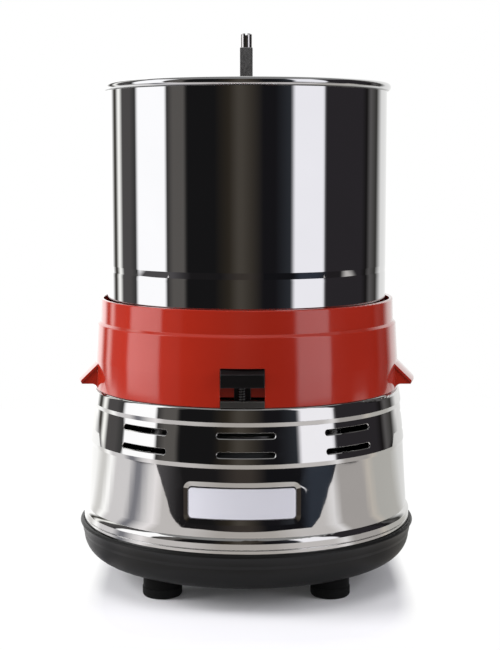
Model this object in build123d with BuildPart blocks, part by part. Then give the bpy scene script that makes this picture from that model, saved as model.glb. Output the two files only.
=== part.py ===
from build123d import *
import os
from math import cos, hypot, pi, radians, sin, sqrt

# Tabletop stone refiner, in millimetres. +Z is up, the table is z = 0 and the drum turns about the Z axis.
# The front, with the lock and the name plate, faces -Y.

os.makedirs("parts", exist_ok=True)

# Clearances
seat_gap = 0.05          # round pieces of one body, pushed together
turn_gap = 0.05          # a shaft in its bush or bearing
slide_gap = 0.3          # pieces that move past each other
air_gap = 0.8            # turning pieces and the fixed ones beside them

# Feet and base pan
foot_radius = 13.75
foot_height = 7.0
foot_edge = 2.6
foot_spigot_radius = 7.0
foot_spigot = 3.0
boss_radius = 13.3
boss_height = 9.1
pan_floor = 3.0
pan_wall = 3.0
pan_depth = 27.2         # from the pan's underside to the top of its lip
foot_inset = 2.13        # from the foot's boss to the pan's round corner
foot_angle = 42.6        # of each foot from the front or the back, in degrees
pan_draft = 0.7          # how far the side leans in above the round corner
pan_corner = 17.0
lip_wall = 2.55          # lip round the skirt's hem
lip_out = 1.95           # lip beyond the pan's side
lip_height = 8.0
lip_round = 2.0
lip_hollow = 0.4         # hollow of the lip's underside
rebate_depth = 3.3       # the skirt's hem stands this deep in the lip
intake_ring = 22.0       # distance of the air slots' middles from the fan's middle
intake_slots = 10
intake_length = 13.0
intake_width = 3.2

# Steel skirt
sheet = 1.2
hem_height = 10.2
hem_groove_height = 6.0  # above the hem's lower edge
hem_groove = 0.35
cove_height = 3.4
cove_out = 2.25          # hem beyond the wall's foot
cove_hollow = 0.4
wall_turn = 5.4          # rounded end of the wall, above the cove
wall_turn_bulge = 0.1
wall_lean = 2.45         # wall's foot beyond its head
wall_hollow = 0.12       # how far the wall bows inward at mid height
wall_height = 40.5
step_height = 2.9
step_out = 0.55
slot_band_height = 24.6
slot_band_lean = 2.9
top_step_out = 0.45
top_band_height = 6.6
top_band_lean = 1.0
shoulder = 2.9
shoulder_out = 1.3       # top band beyond the collar's foot
deck_opening_radius = 60.0

# Vent slots in pairs round the skirt, by angle from the front
slot_length = 38.5
slot_width = 3.4
slot_pitch = 12.6
slot_angles = [0, 38, -38, 90, -90, 142, -142, 180]
slot_edge = 0.5

# Name plate in its pressed seat
plate_width = 70.8
plate_height = 19.9
plate_thickness = 0.9
plate_corner = 2.2
plate_tape = 0.15        # glue film under the plate
plate_rise = 17.0        # plate's middle above the wall's foot
plate_shift = -2.6       # along X, as the plate is fixed
seat_depth = 1.6
seat_margin = 0.5        # seat's floor round the plate
seat_lift = 0.3          # seat's middle above the plate's middle
seat_slope = 3.2         # width of the seat's sloping border
seat_slope_depth = 1.2
seat_back_border = 6.0   # metal behind the seat, round the plate

# Red collar
collar_wall = 2.6
collar_floor = 3.0
collar_drum_gap = 2.85
collar_height = 63.9
collar_foot_out = 0.3    # each of these is how far the collar widens, from its top down
collar_belly_out = 1.5
collar_step_out = 1.85
collar_neck_out = 0.5
collar_belly_rise = 20.6
collar_step_rise = 46.0
collar_step_height = 1.8
collar_edge = 0.8
collar_opening_radius = 50.0
collar_dam_height = 4.0  # ring round the opening that keeps spills out
collar_dam = 2.5
collar_boss_radius = 7.0
collar_boss_height = 9.6

# Side grips of the collar
grip_out = 11.6          # grip's tip beyond the collar's foot
grip_half_width = 31.0
grip_floor_rise = 4.0
grip_tip_height = 2.5
grip_slope_rise = 18.6
grip_lip = 0.9           # sloping top stands proud of the side walls by this
grip_top_thickness = 2.2
grip_cove = 3.9
grip_cove_share = 0.3    # where the cove's arc passes, between its two ends

# Push lock
lock_shift = -2.4        # along X
lock_notch_width = 29.5
lock_notch_height = 25.9
lock_pocket_wall = 2.2
lock_back_gap = 2.2      # between the drum's base and the pocket's back wall
lock_ledge = 4.2
lock_ledge_in = 0.4      # ledge inside the collar's foot
lock_spring_length = 9.4
lock_bar_height = 11.9
lock_bar_out = 2.3       # bar's face beyond the collar's belly
lock_bevel_rise = 3.2
lock_bevel_depth = 4.6
lock_travel = 3.0
lock_bar_skin = 2.4      # bar left in front of the bolt's notch
lock_pin_radius = 1.6
lock_pin_inset = 4.4     # from the bar's face back to the pin's middle
lock_pin_end = 3.2       # above the skirt's deck, at rest
lock_tab_width = 11.0
lock_tab_thickness = 1.0
lock_drain = 1.9         # open strip under the pocket's back wall
lock_bolt_width = 10.0
lock_bolt_height = 5.0
lock_bolt_rise = 5.0     # bolt's underside above the bar's underside
lock_nose_gap = 1.0      # between the bolt's nose and the drum's base, at rest
lock_groove_depth = 3.4
spring_wire = 0.8
spring_radius = 2.45
spring_turns = 5

# Chassis, shaft and drive
chassis_gap = 10.25      # between the chassis and the skirt's sheet
chassis_thickness = 3.0
pillar_radius = 7.0
tie_radius = 2.5
tie_head_radius = 4.6
tie_head = 3.2
tie_cap = 2.6            # rubber left below the bolt's head recess
shaft_flange_radius = 21.0
shaft_flange = 4.0
shaft_stub_radius = 4.1
shaft_stub = 9.8
shaft_slot = 1.6
shaft_slot_depth = 1.3
shaft_square = 9.0
shaft_neck_radius = 7.6
shaft_neck = 5.0
shaft_above_rim = 25.6
shaft_thread_radius = 6.0
shaft_thread = 17.0
shaft_edge = 0.45
stub_edge = 0.65
washer_thickness = 2.0
washer_radius = 11.8
nut_thickness = 9.0
nut_width = 19.0
bearing_bore_radius = 8.5
bearing_radius = 17.5
bearing_width = 10.0
bearing_ball_radius = 2.8
bearing_balls_each = 9
bearing_inset = 1.4
bearing_gap = 4.0
ring_land = 2.5          # thickness of each bearing ring at its edge
circlip_thickness = 1.2
circlip_depth = 0.8
circlip_radius = 10.6
hub_radius = 23.0
hub_flange_radius = 31.0
hub_flange = 4.0
hub_disc_radius = 46.0
hub_disc = 6.0
hub_head = 2.8           # hub above the upper bearing
drive_pin_radius = 5.0
drive_pin_ring = 34.0
drive_pin_rise = 8.0
drive_pin_count = 3
pulley_space = 6.5       # between the faces of the two pulleys
pulley_width = 9.6
pulley_rim = 5.0
pulley_web = 4.0
pulley_hole_land = 2.25  # web left beside each hole
pulley_screw_ring = 27.0
belt_width = 8.0
belt_thickness = 2.6
small_pulley_radius = 7.0
small_pulley_flange = 2.2
small_pulley_flange_width = 0.7

# Motor, hung under the chassis in front of the shaft
motor_room = 4.48        # between the motor and the skirt's sheet
motor_radius = 42.0
motor_wall = 2.5
motor_cap = 10.0
motor_can_height = 58.0
motor_shaft_radius = 4.0
motor_tail = 18.0        # shaft below the lower cap
stator_bore_radius = 24.2
rotor_gap = 0.5
winding_height = 7.0
winding_gap = 2.0        # between the windings and the caps
winding_wall = 9.0
bush_wall = 3.0
motor_screw_ring = 33.0
fan_radius = 34.0
fan_height = 12.0
fan_disc = 1.5
fan_blades = 9
fan_blade = 1.6
fan_hub_radius = 8.0

# Electrical pieces at the back
capacitor_radius = 15.0
capacitor_height = 58.0
capacitor_place = (-27.0, 60.0)
capacitor_terminal = 6.0
clip_thickness = 1.6
clip_height = 10.0
clip_rise = 14.0
clip_foot = 12.0
terminal_size = (34.0, 16.0, 14.0)
terminal_place = (28.0, 61.0)
terminal_ways = 3
switch_rise = 16.8       # switch's middle above the wall's foot
switch_width = 30.0
switch_height = 22.0
switch_proud = 2.2
switch_body_width = 24.0
switch_body_height = 17.0
switch_depth = 20.0
switch_corner = 2.5
switch_window_width = 18.0
switch_window_height = 12.0
switch_window_depth = 12.0
rocker_height = 9.4
rocker_reach = 1.5       # rocker's ends beyond the bezel face
rocker_dish = 0.7
rocker_pivot_depth = 5.0
rocker_back = 4.0
rocker_tilt = 8.0        # degrees; the rocker is stored at its off side
rocker_stub_radius = 1.4
rocker_stub = 1.2
gland_angle = 152.0      # from the front, towards +X
gland_rise = 9.8
gland_radius = 9.0
gland_flange = 2.4
gland_nose = 2.8
gland_nose_radius = 6.4
gland_nose_taper = 12.0  # degrees
gland_shank_radius = 7.0
gland_inner = 9.0
gland_bore_radius = 3.6
gland_nut_width = 19.0
gland_nut = 4.0

# Drum
drum_radius = 100.0
drum_wall = 1.0
drum_floor = 1.2
drum_height = 182.9
drum_corner = 6.0
bead_radius = 2.75
groove_rise = 50.9
groove_above = 4.2       # height of the groove's upper side
groove_below = 3.0       # height of its lower side
groove_depth = 0.22
groove_bow = 0.25        # share of the depth that each side has at its middle
drum_base_height = 15.7
drum_base_inset = 1.8    # drum's wall beyond its base
drum_base_skirt = 4.6
drum_base_skirt_drop = 22.0
drum_base_boss_radius = 44.0
drum_base_web = 5.0
drum_base_ribs = 6
drum_base_rib = 3.0
drum_base_rib_height = 7.0
drum_screw_ring = 62.0
drum_screw_count = 6
stone_thickness = 28.0
stone_gap = 1.0
stone_edge = 1.5
tube_radius = 11.0
tube_wall = 2.0
tube_flange_radius = 18.0
tube_flange = 2.0
tube_rise = 84.0         # above the stone

# Roller carrier
roller_radius = 42.0
roller_inner_end = 27.0
roller_wall_gap = 6.65   # from the roller's outer corners to the drum's groove
roller_edge = 3.0
roller_recess_radius = 14.0
roller_recess = 9.0
bush_radius = 10.0
axle_radius = 6.0
axle_root = 5.5          # axle's depth in the holder
axle_nut_width = 17.0
axle_nut = 6.0
axle_washer_radius = 11.0
axle_washer = 1.5
axle_end = 1.2
holder_radius = 21.0
holder_bore_gap = 1.5
holder_foot_gap = 4.0
holder_cap = 18.0
holder_head_gap = 4.0    # inside the holder, above the tube
holder_head_radius = 16.0
holder_boss_radius = 15.0
holder_boss_end = 25.5
scraper_width = 20.0
scraper_thickness = 6.0
scraper_root = 17.0
arm_end_gap = 3.9        # between the arm's end and the blade
scraper_drop = 7.0       # arm's top below the holder's top
blade_wall_gap = 1.88
blade_thickness = 3.0
blade_width = 34.0
blade_foot_gap = 3.0

# Screws
small_screw_radius = 2.0
small_head_radius = 3.6
small_head = 2.6
small_screw = 10.0
recess_length = 4.2      # cross recess in each screw's head
recess_width = 1.0
recess_depth = 1.4

# Distances from the axis, worked out from the drum outward
drum_inner = drum_radius - drum_wall
drum_base_radius = drum_radius - drum_base_inset
stone_radius = drum_inner - stone_gap
collar_top_radius = drum_radius + collar_drum_gap + collar_wall
collar_neck_radius = collar_top_radius + collar_neck_out
collar_step_radius = collar_neck_radius + collar_step_out
collar_belly_radius = collar_step_radius + collar_belly_out
collar_foot_radius = collar_belly_radius + collar_foot_out
grip_reach = collar_foot_radius + grip_out
top_band_head_radius = collar_foot_radius + shoulder_out
slot_band_head_radius = top_band_head_radius + top_band_lean - top_step_out
wall_head_radius = slot_band_head_radius + slot_band_lean - step_out
wall_foot_radius = wall_head_radius + wall_lean
hem_radius = wall_foot_radius + cove_out
lip_radius = hem_radius + slide_gap + lip_wall
pan_radius = lip_radius - lip_out
foot_ring = pan_radius - pan_draft - pan_corner - boss_radius - foot_inset
lock_pocket_radius = drum_base_radius + lock_back_gap + lock_pocket_wall
lock_ledge_reach = collar_foot_radius - lock_ledge_in
lock_bar_reach = collar_belly_radius + lock_bar_out
lock_pin_reach = lock_bar_reach - lock_pin_inset
lock_bolt_nose = drum_base_radius + lock_nose_gap
chassis_radius = slot_band_head_radius - sheet - chassis_gap
motor_offset = wall_head_radius - wall_hollow - sheet - motor_room - motor_radius
pulley_radius = motor_offset - small_pulley_radius - pulley_space
pulley_web_width = pulley_radius - pulley_rim - hub_flange_radius
pulley_hole_ring = hub_flange_radius + pulley_web_width / 2
pulley_hole_radius = pulley_web_width / 2 - pulley_hole_land
blade_outer = drum_inner - groove_depth - blade_wall_gap
scraper_end = blade_outer - blade_thickness - arm_end_gap
roller_outer_end = sqrt((drum_inner - groove_depth - roller_wall_gap) ** 2 - roller_radius ** 2)
roller_length = roller_outer_end - roller_inner_end

# Where the middle of a quarter circle lies, as a share of its radius from the corner
arc_share = 1 - sqrt(0.5)

# Heights worked out from the table up
pan_bottom_z = foot_height + boss_height
pan_floor_z = pan_bottom_z + pan_floor
pan_top_z = pan_bottom_z + pan_depth
shell_bottom_z = pan_top_z - rebate_depth
hem_top_z = shell_bottom_z + hem_height
turn_foot_z = hem_top_z + cove_height
wall_foot_z = turn_foot_z + wall_turn
wall_head_z = wall_foot_z + wall_height
slot_band_foot_z = wall_head_z + step_height
slot_band_head_z = slot_band_foot_z + slot_band_height
top_band_foot_z = slot_band_head_z + step_height
top_band_head_z = top_band_foot_z + top_band_height
shell_top_z = top_band_head_z + shoulder
deck_z = shell_top_z - sheet
drive_space = shaft_flange + air_gap + pulley_width + air_gap
chassis_top_z = deck_z - drive_space
chassis_z = chassis_top_z - chassis_thickness
hub_bottom_z = chassis_top_z + shaft_flange + air_gap
pulley_top_z = hub_bottom_z + pulley_width
pulley_mid_z = hub_bottom_z + pulley_width / 2
lower_bearing_z = hub_bottom_z + bearing_inset
upper_bearing_z = lower_bearing_z + bearing_width + bearing_gap
circlip_z = upper_bearing_z + bearing_width + seat_gap
hub_top_z = upper_bearing_z + bearing_width + hub_head
hub_disc_z = hub_top_z - hub_disc
drum_base_z = hub_top_z + slide_gap
drum_bottom_z = drum_base_z + drum_base_height
drum_floor_z = drum_bottom_z + drum_floor
drum_rim_z = drum_bottom_z + drum_height
stone_top_z = drum_floor_z + stone_thickness
tube_top_z = stone_top_z + tube_rise
roller_z = stone_top_z + slide_gap + roller_radius
holder_foot_z = stone_top_z + holder_foot_gap
holder_cap_z = tube_top_z + holder_head_gap
holder_top_z = holder_cap_z + holder_cap
shaft_shoulder_z = drum_rim_z + shaft_above_rim
collar_top_z = shell_top_z + collar_height
lock_ledge_z = shell_top_z + lock_ledge
lock_bar_z = lock_ledge_z + lock_spring_length
lock_bar_top_z = lock_bar_z + lock_bar_height
lock_bolt_z = lock_bar_z + lock_bolt_rise
motor_bottom_z = chassis_z - 2 * motor_cap - motor_can_height
fan_z = motor_bottom_z - motor_tail + air_gap

motor_centre = (0, -motor_offset)
foot_x = foot_ring * sin(radians(foot_angle))
foot_y = foot_ring * cos(radians(foot_angle))
foot_places = GridLocations(2 * foot_x, 2 * foot_y, 2, 2)


def keep(piece, name):
    """Label a finished piece and write it as its own file."""
    piece.part.label = name
    export_step(piece.part, f"parts/{name}.step")


def radial_plane(angle, distance, height):
    """Plane that faces outward, at an angle from the front and a distance from the axis."""
    turn = radians(angle)
    outward = Vector(sin(turn), -cos(turn), 0)
    origin = outward * distance + Vector(0, 0, height)
    return Plane(origin=origin, x_dir=(cos(turn), sin(turn), 0), z_dir=outward)


def wall_radius(height):
    """Outer radius of the skirt's lower wall at a height."""
    share = (height - wall_foot_z) / wall_height
    straight = wall_foot_radius + share * (wall_head_radius - wall_foot_radius)
    return straight - 4 * wall_hollow * share * (1 - share)


def wall_curve(shift):
    """Ends and middle of the lower wall's outline, moved outward by shift."""
    middle_z = wall_foot_z + wall_height / 2
    middle = (wall_radius(middle_z) + shift, middle_z)
    return (wall_foot_radius + shift, wall_foot_z), middle, (wall_head_radius + shift, wall_head_z)


def wall_band(inner, outer):
    """Ring between two copies of the lower wall, each moved outward by its own amount."""
    with BuildPart() as ring:
        with BuildSketch(Plane.XZ):
            with BuildLine():
                inside = ThreePointArc(*wall_curve(inner))
                outside = ThreePointArc(*wall_curve(outer))
                Line(inside @ 0, outside @ 0)
                Line(inside @ 1, outside @ 1)
            make_face()
        revolve(axis=Axis.Z)
    return ring.part


def skirt_outline(inset):
    """Solid of the steel skirt's outline, drawn in by inset from its sides and top."""
    slot_head = slot_band_head_radius - inset
    band_foot = slot_head + top_step_out
    band_head = top_band_head_radius - inset
    ridge = wall_head_radius + step_out - inset
    hem = hem_radius - inset
    foot = wall_foot_radius - inset
    top_z = shell_top_z - inset
    round_over = shoulder * arc_share
    with BuildPart() as outline:
        with BuildSketch(Plane.XZ):
            with BuildLine():
                wall = ThreePointArc(*wall_curve(-inset))
                side = Polyline(wall @ 1, (ridge, slot_band_foot_z), (slot_head, slot_band_head_z),
                                (band_foot, top_band_foot_z), (band_head, top_band_head_z - inset))
                over = (band_head - round_over, top_z - round_over)
                crown = ThreePointArc(side @ 1, over, (band_head - shoulder, top_z))
                turn = ThreePointArc(wall @ 0, (foot + wall_turn_bulge, turn_foot_z + wall_turn / 2),
                                     (foot, turn_foot_z))
                cove = SagittaArc(turn @ 1, (hem, hem_top_z), cove_hollow)
                Polyline(crown @ 1, (0, top_z), (0, shell_bottom_z), (hem, shell_bottom_z), cove @ 1)
            make_face()
        revolve(axis=Axis.Z)
    return outline.part


# Base pan: lipped tray with a round corner and four foot bosses
pan_inner = pan_radius - pan_wall
hem_room = hem_radius + slide_gap
side_foot = pan_radius - pan_draft
lip_foot_z = pan_top_z - lip_height
with BuildPart() as base_pan:
    with BuildSketch(Plane.XZ):
        with BuildLine():
            lip_side = (lip_radius, pan_top_z - lip_round)
            lip_over = (lip_radius - lip_round * arc_share, pan_top_z - lip_round * arc_share)
            corner_over = (side_foot - pan_corner * arc_share, pan_bottom_z + pan_corner * arc_share)
            crest = ThreePointArc((lip_radius - lip_round, pan_top_z), lip_over, lip_side)
            under = SagittaArc(lip_side, (pan_radius, lip_foot_z), -lip_hollow)
            side = Line(under @ 1, (side_foot, pan_bottom_z + pan_corner))
            corner = ThreePointArc(side @ 1, corner_over, (side_foot - pan_corner, pan_bottom_z))
            Polyline(corner @ 1, (0, pan_bottom_z), (0, pan_top_z), crest @ 0)
        make_face()
    revolve(axis=Axis.Z)
    with BuildSketch(Plane.XY.offset(pan_top_z)):
        Circle(hem_room)
    extrude(amount=-rebate_depth, mode=Mode.SUBTRACT)
    with BuildSketch(Plane.XZ):
        with BuildLine():
            inner_foot = side_foot - pan_wall
            inner_corner = pan_corner - pan_wall
            cave = (inner_foot - inner_corner * arc_share, pan_floor_z + inner_corner * arc_share)
            inside = Line((pan_inner - pan_wall, shell_bottom_z), (inner_foot, pan_floor_z + inner_corner))
            bend = ThreePointArc(inside @ 1, cave, (inner_foot - inner_corner, pan_floor_z))
            Polyline(bend @ 1, (0, pan_floor_z), (0, shell_bottom_z), inside @ 0)
        make_face()
    revolve(axis=Axis.Z, mode=Mode.SUBTRACT)
    with BuildSketch(Plane.XY.offset(foot_height)):
        with foot_places:
            Circle(boss_radius)
    extrude(amount=boss_height)
    with BuildSketch(Plane.XY.offset(foot_height)):
        with foot_places:
            Circle(foot_spigot_radius + seat_gap)
    extrude(amount=foot_spigot + seat_gap, mode=Mode.SUBTRACT)
    with BuildSketch(Plane.XY.offset(foot_height)):
        with foot_places:
            Circle(tie_radius + seat_gap)
    extrude(amount=boss_height + pan_floor, mode=Mode.SUBTRACT)
    with BuildSketch(Plane.XY.offset(pan_bottom_z)):
        with Locations(motor_centre):
            with PolarLocations(intake_ring, intake_slots):
                SlotOverall(intake_length, intake_width)
    extrude(amount=pan_floor, mode=Mode.SUBTRACT)
keep(base_pan, "base_pan")

# Rubber feet, each with a spigot in its boss and a recess for the tie bolt's head
with BuildPart() as rubber_feet:
    with BuildSketch():
        with foot_places:
            Circle(foot_radius)
    extrude(amount=foot_height)
    fillet(rubber_feet.edges().filter_by(GeomType.CIRCLE).group_by(Axis.Z)[0], foot_edge)
    with BuildSketch(Plane.XY.offset(foot_height)):
        with foot_places:
            Circle(foot_spigot_radius)
    extrude(amount=foot_spigot)
    with BuildSketch():
        with foot_places:
            Circle(tie_head_radius + slide_gap)
    extrude(amount=tie_cap + tie_head, mode=Mode.SUBTRACT)
    with BuildSketch():
        with foot_places:
            Circle(tie_radius + seat_gap)
    extrude(amount=foot_height + foot_spigot, mode=Mode.SUBTRACT)
keep(rubber_feet, "rubber_feet")

# Tie bolts from the feet, up through pan, pillars, chassis, spacers and deck into the collar's bosses
tie_top_z = shell_top_z + collar_boss_height - collar_floor / 2
with BuildPart() as tie_bolts:
    with BuildSketch(Plane.XY.offset(tie_cap)):
        with foot_places:
            Circle(tie_head_radius)
    extrude(amount=tie_head)
    with BuildSketch(Plane.XY.offset(tie_cap)):
        with foot_places:
            RegularPolygon(tie_radius, 6)
    extrude(amount=tie_head / 2, mode=Mode.SUBTRACT)
    with BuildSketch(Plane.XY.offset(tie_cap + tie_head)):
        with foot_places:
            Circle(tie_radius)
    extrude(amount=tie_top_z - tie_cap - tie_head)
keep(tie_bolts, "tie_bolts")

# Pillars between pan and chassis, and spacers between chassis and deck
with BuildPart() as pillars:
    with BuildSketch(Plane.XY.offset(pan_floor_z)):
        with foot_places:
            Circle(pillar_radius)
            Circle(tie_radius + seat_gap, mode=Mode.SUBTRACT)
    extrude(amount=chassis_z - pan_floor_z)
keep(pillars, "pillars")

with BuildPart() as deck_spacers:
    with BuildSketch(Plane.XY.offset(chassis_top_z)):
        with foot_places:
            Circle(pillar_radius)
            Circle(tie_radius + seat_gap, mode=Mode.SUBTRACT)
    extrude(amount=drive_space)
keep(deck_spacers, "deck_spacers")

# Chassis plate that carries shaft and motor
with BuildPart() as chassis_plate:
    with BuildSketch(Plane.XY.offset(chassis_z)):
        Circle(chassis_radius)
        Circle(shaft_thread_radius + seat_gap, mode=Mode.SUBTRACT)
        with foot_places:
            Circle(tie_radius + seat_gap, mode=Mode.SUBTRACT)
        with Locations(motor_centre):
            Circle(motor_shaft_radius + bush_wall + air_gap, mode=Mode.SUBTRACT)
            with PolarLocations(motor_screw_ring, 4, 45):
                Circle(small_screw_radius + seat_gap, mode=Mode.SUBTRACT)
    extrude(amount=chassis_thickness)
keep(chassis_plate, "chassis_plate")

# Steel skirt: one drawn sheet with hem, cove, bowed wall, two steps, slots and a flat deck
plate_z = wall_foot_z + plate_rise
switch_z = wall_foot_z + switch_rise
gland_z = wall_foot_z + gland_rise
switch_wall = wall_radius(switch_z)
gland_wall = wall_radius(gland_z)
slot_middle_z = slot_band_foot_z + slot_band_height / 2
slot_heights = [slot_middle_z - slot_pitch / 2, slot_middle_z + slot_pitch / 2]
front_seat = Plane.XZ.offset(wall_head_radius / 2)
seat_z = plate_z + seat_lift
seat_width = plate_width + 2 * seat_margin
seat_height = plate_height + 2 * seat_margin + 2 * seat_lift


def on_slot_front(edge):
    """Whether an edge runs round the outer end of a vent slot."""
    middle = edge @ 0.5
    share = (middle.Z - slot_band_foot_z) / slot_band_height
    ridge = wall_head_radius + step_out
    surface = ridge + share * (slot_band_head_radius - ridge)
    near_slot = min(abs(middle.Z - height) for height in slot_heights) < slot_width
    return near_slot and abs(hypot(middle.X, middle.Y) - surface) < sheet / 4


def on_seat_front(edge):
    """Whether an edge runs round the outer end of the plate's seat."""
    middle = edge @ 0.5
    inside_x = abs(middle.X - plate_shift) < seat_width / 2 + seat_margin
    inside_z = abs(middle.Z - seat_z) < seat_height / 2 + seat_margin
    reach = hypot(middle.X, middle.Y) - wall_radius(middle.Z)
    return inside_x and inside_z and middle.Y < 0 and abs(reach) < seat_depth / 4


with BuildPart() as plate_seat_back:
    add(wall_band(-seat_depth - sheet, -sheet))
    with BuildSketch(front_seat):
        with Locations((plate_shift, seat_z)):
            RectangleRounded(seat_width + 2 * seat_back_border, seat_height + 2 * seat_back_border,
                             seat_back_border)
    extrude(amount=hem_radius, mode=Mode.INTERSECT)

with BuildPart() as plate_seat_cut:
    add(wall_band(-seat_depth, seat_depth))
    with BuildSketch(front_seat):
        with Locations((plate_shift, seat_z)):
            RectangleRounded(seat_width, seat_height, plate_corner)
    extrude(amount=hem_radius, mode=Mode.INTERSECT)

with BuildPart() as body_shell:
    add(skirt_outline(0))
    add(skirt_outline(sheet), mode=Mode.SUBTRACT)
    with BuildSketch(Plane.XY.offset(deck_z)):
        Circle(deck_opening_radius)
        with foot_places:
            Circle(tie_radius + seat_gap)
    extrude(amount=2 * sheet, mode=Mode.SUBTRACT)
    with BuildSketch(Plane.XZ):
        with Locations((hem_radius, shell_bottom_z + hem_groove_height)):
            Circle(hem_groove)
    revolve(axis=Axis.Z, mode=Mode.SUBTRACT)
    add(plate_seat_back.part)
    add(plate_seat_cut.part, mode=Mode.SUBTRACT)
    chamfer(body_shell.edges().filter_by(on_seat_front), seat_slope, seat_slope_depth)
    for angle in slot_angles:
        for height in slot_heights:
            with BuildSketch(radial_plane(angle, wall_head_radius / 2, height)):
                SlotOverall(slot_length, slot_width)
            extrude(amount=wall_head_radius, mode=Mode.SUBTRACT)
    with BuildSketch(Plane.XZ.offset(-switch_wall / 2)):
        with Locations((0, switch_z)):
            Rectangle(switch_body_width + slide_gap, switch_body_height + slide_gap)
    extrude(amount=-hem_radius, mode=Mode.SUBTRACT)
    with BuildSketch(radial_plane(gland_angle, gland_wall / 2, gland_z)):
        Circle(gland_shank_radius + slide_gap)
    extrude(amount=hem_radius, mode=Mode.SUBTRACT)
    chamfer(body_shell.edges().filter_by(on_slot_front), slot_edge)
keep(body_shell, "body_shell")

# Name plate, bent to the wall and bare of lettering
with BuildPart() as name_plate:
    add(wall_band(plate_tape - seat_depth, plate_tape + plate_thickness - seat_depth))
    with BuildSketch(front_seat):
        with Locations((plate_shift, plate_z)):
            RectangleRounded(plate_width, plate_height, plate_corner)
    extrude(amount=hem_radius, mode=Mode.INTERSECT)
keep(name_plate, "name_plate")

# Red collar: stepped thin wall, floor with a spill dam, bosses, grips and the lock's pocket
collar_outer = [(collar_foot_radius, shell_top_z),
                (collar_belly_radius, shell_top_z + collar_belly_rise),
                (collar_step_radius, shell_top_z + collar_step_rise),
                (collar_neck_radius, shell_top_z + collar_step_rise + collar_step_height),
                (collar_top_radius, collar_top_z)]
collar_inner = [(radius - collar_wall, height) for radius, height in reversed(collar_outer)]
collar_inner[-1] = (collar_foot_radius - collar_wall, shell_top_z + collar_floor)
grip_z = shell_top_z + grip_floor_rise
grip_crest_z = shell_top_z + grip_slope_rise
grip_root = collar_belly_radius - collar_wall / 2
dam_radius = collar_opening_radius + collar_dam
dam_top_z = shell_top_z + collar_floor + collar_dam_height
pocket_half = lock_notch_width / 2 + lock_pocket_wall
pocket_back = lock_pocket_radius - lock_pocket_wall
bolt_window = Plane.XZ.offset(pocket_back - lock_pocket_wall)


def grips(half_width, drop):
    """Both wedge grips, cut from one turned ring; drop lowers the sloping top."""
    tip_z = grip_z + grip_tip_height
    with BuildPart() as wedges:
        with BuildSketch(Plane.XZ):
            with BuildLine():
                foot = ThreePointArc((collar_foot_radius, shell_top_z),
                                     (collar_foot_radius + grip_cove * grip_cove_share,
                                      grip_z - grip_floor_rise * grip_cove_share),
                                     (collar_foot_radius + grip_cove, grip_z))
                Polyline(foot @ 1, (grip_reach - grip_lip, grip_z), (grip_reach, tip_z - drop),
                         (collar_belly_radius, grip_crest_z - drop), (grip_root, grip_crest_z - drop),
                         (grip_root, shell_top_z), foot @ 0)
            make_face()
        revolve(axis=Axis.Z)
        with BuildSketch(Plane.XY.offset(shell_top_z)):
            Rectangle(2 * grip_reach, 2 * half_width)
        extrude(amount=collar_height, mode=Mode.INTERSECT)
    return wedges.part


with BuildPart() as upper_collar:
    with BuildSketch(Plane.XZ):
        with BuildLine():
            Polyline(*collar_outer, *collar_inner, (dam_radius, shell_top_z + collar_floor),
                     (dam_radius, dam_top_z), (collar_opening_radius, dam_top_z),
                     (collar_opening_radius, shell_top_z), close=True)
        make_face()
    revolve(axis=Axis.Z)
    rim = upper_collar.edges().filter_by(GeomType.CIRCLE).group_by(Axis.Z)[-1]
    fillet(rim, collar_edge)
    step = upper_collar.edges().filter_by(GeomType.CIRCLE).filter_by(
        lambda edge: abs(edge.radius - collar_step_radius) < collar_edge / 4)
    fillet(step, collar_edge)
    add(grips(grip_half_width - grip_lip, grip_lip))
    with BuildPart(mode=Mode.PRIVATE) as top_leaves:
        add(grips(grip_half_width, 0))
        add(grips(2 * grip_half_width, grip_top_thickness), mode=Mode.SUBTRACT)
    add(top_leaves.part)
    with BuildSketch(Plane.XY.offset(shell_top_z)):
        with foot_places:
            Circle(collar_boss_radius)
    extrude(amount=collar_boss_height)
    with BuildSketch(Plane.XY.offset(shell_top_z)):
        with foot_places:
            Circle(tie_radius + seat_gap)
    extrude(amount=collar_boss_height - collar_floor / 2 + seat_gap, mode=Mode.SUBTRACT)
    with BuildSketch(Plane.XZ.offset(pocket_back)):
        with Locations((lock_shift, shell_top_z)):
            Rectangle(2 * pocket_half, lock_notch_height + lock_pocket_wall, align=(Align.CENTER, Align.MIN))
    extrude(amount=collar_step_radius - collar_wall - pocket_back)
    with BuildSketch(Plane.XZ.offset(lock_pocket_radius)):
        with Locations((lock_shift, shell_top_z)):
            Rectangle(lock_notch_width, lock_notch_height, align=(Align.CENTER, Align.MIN))
    extrude(amount=grip_reach - lock_pocket_radius, mode=Mode.SUBTRACT)
    with BuildSketch(bolt_window):
        with Locations((lock_shift, lock_bolt_z + lock_bolt_height / 2)):
            Rectangle(lock_bolt_width + 2 * slide_gap, lock_bolt_height + 2 * slide_gap)
    extrude(amount=3 * lock_pocket_wall, mode=Mode.SUBTRACT)
    with BuildSketch(bolt_window):
        with Locations((lock_shift, lock_ledge_z)):
            Rectangle(lock_notch_width, lock_drain, align=(Align.CENTER, Align.MIN))
    extrude(amount=3 * lock_pocket_wall, mode=Mode.SUBTRACT)
keep(upper_collar, "upper_collar")

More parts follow.
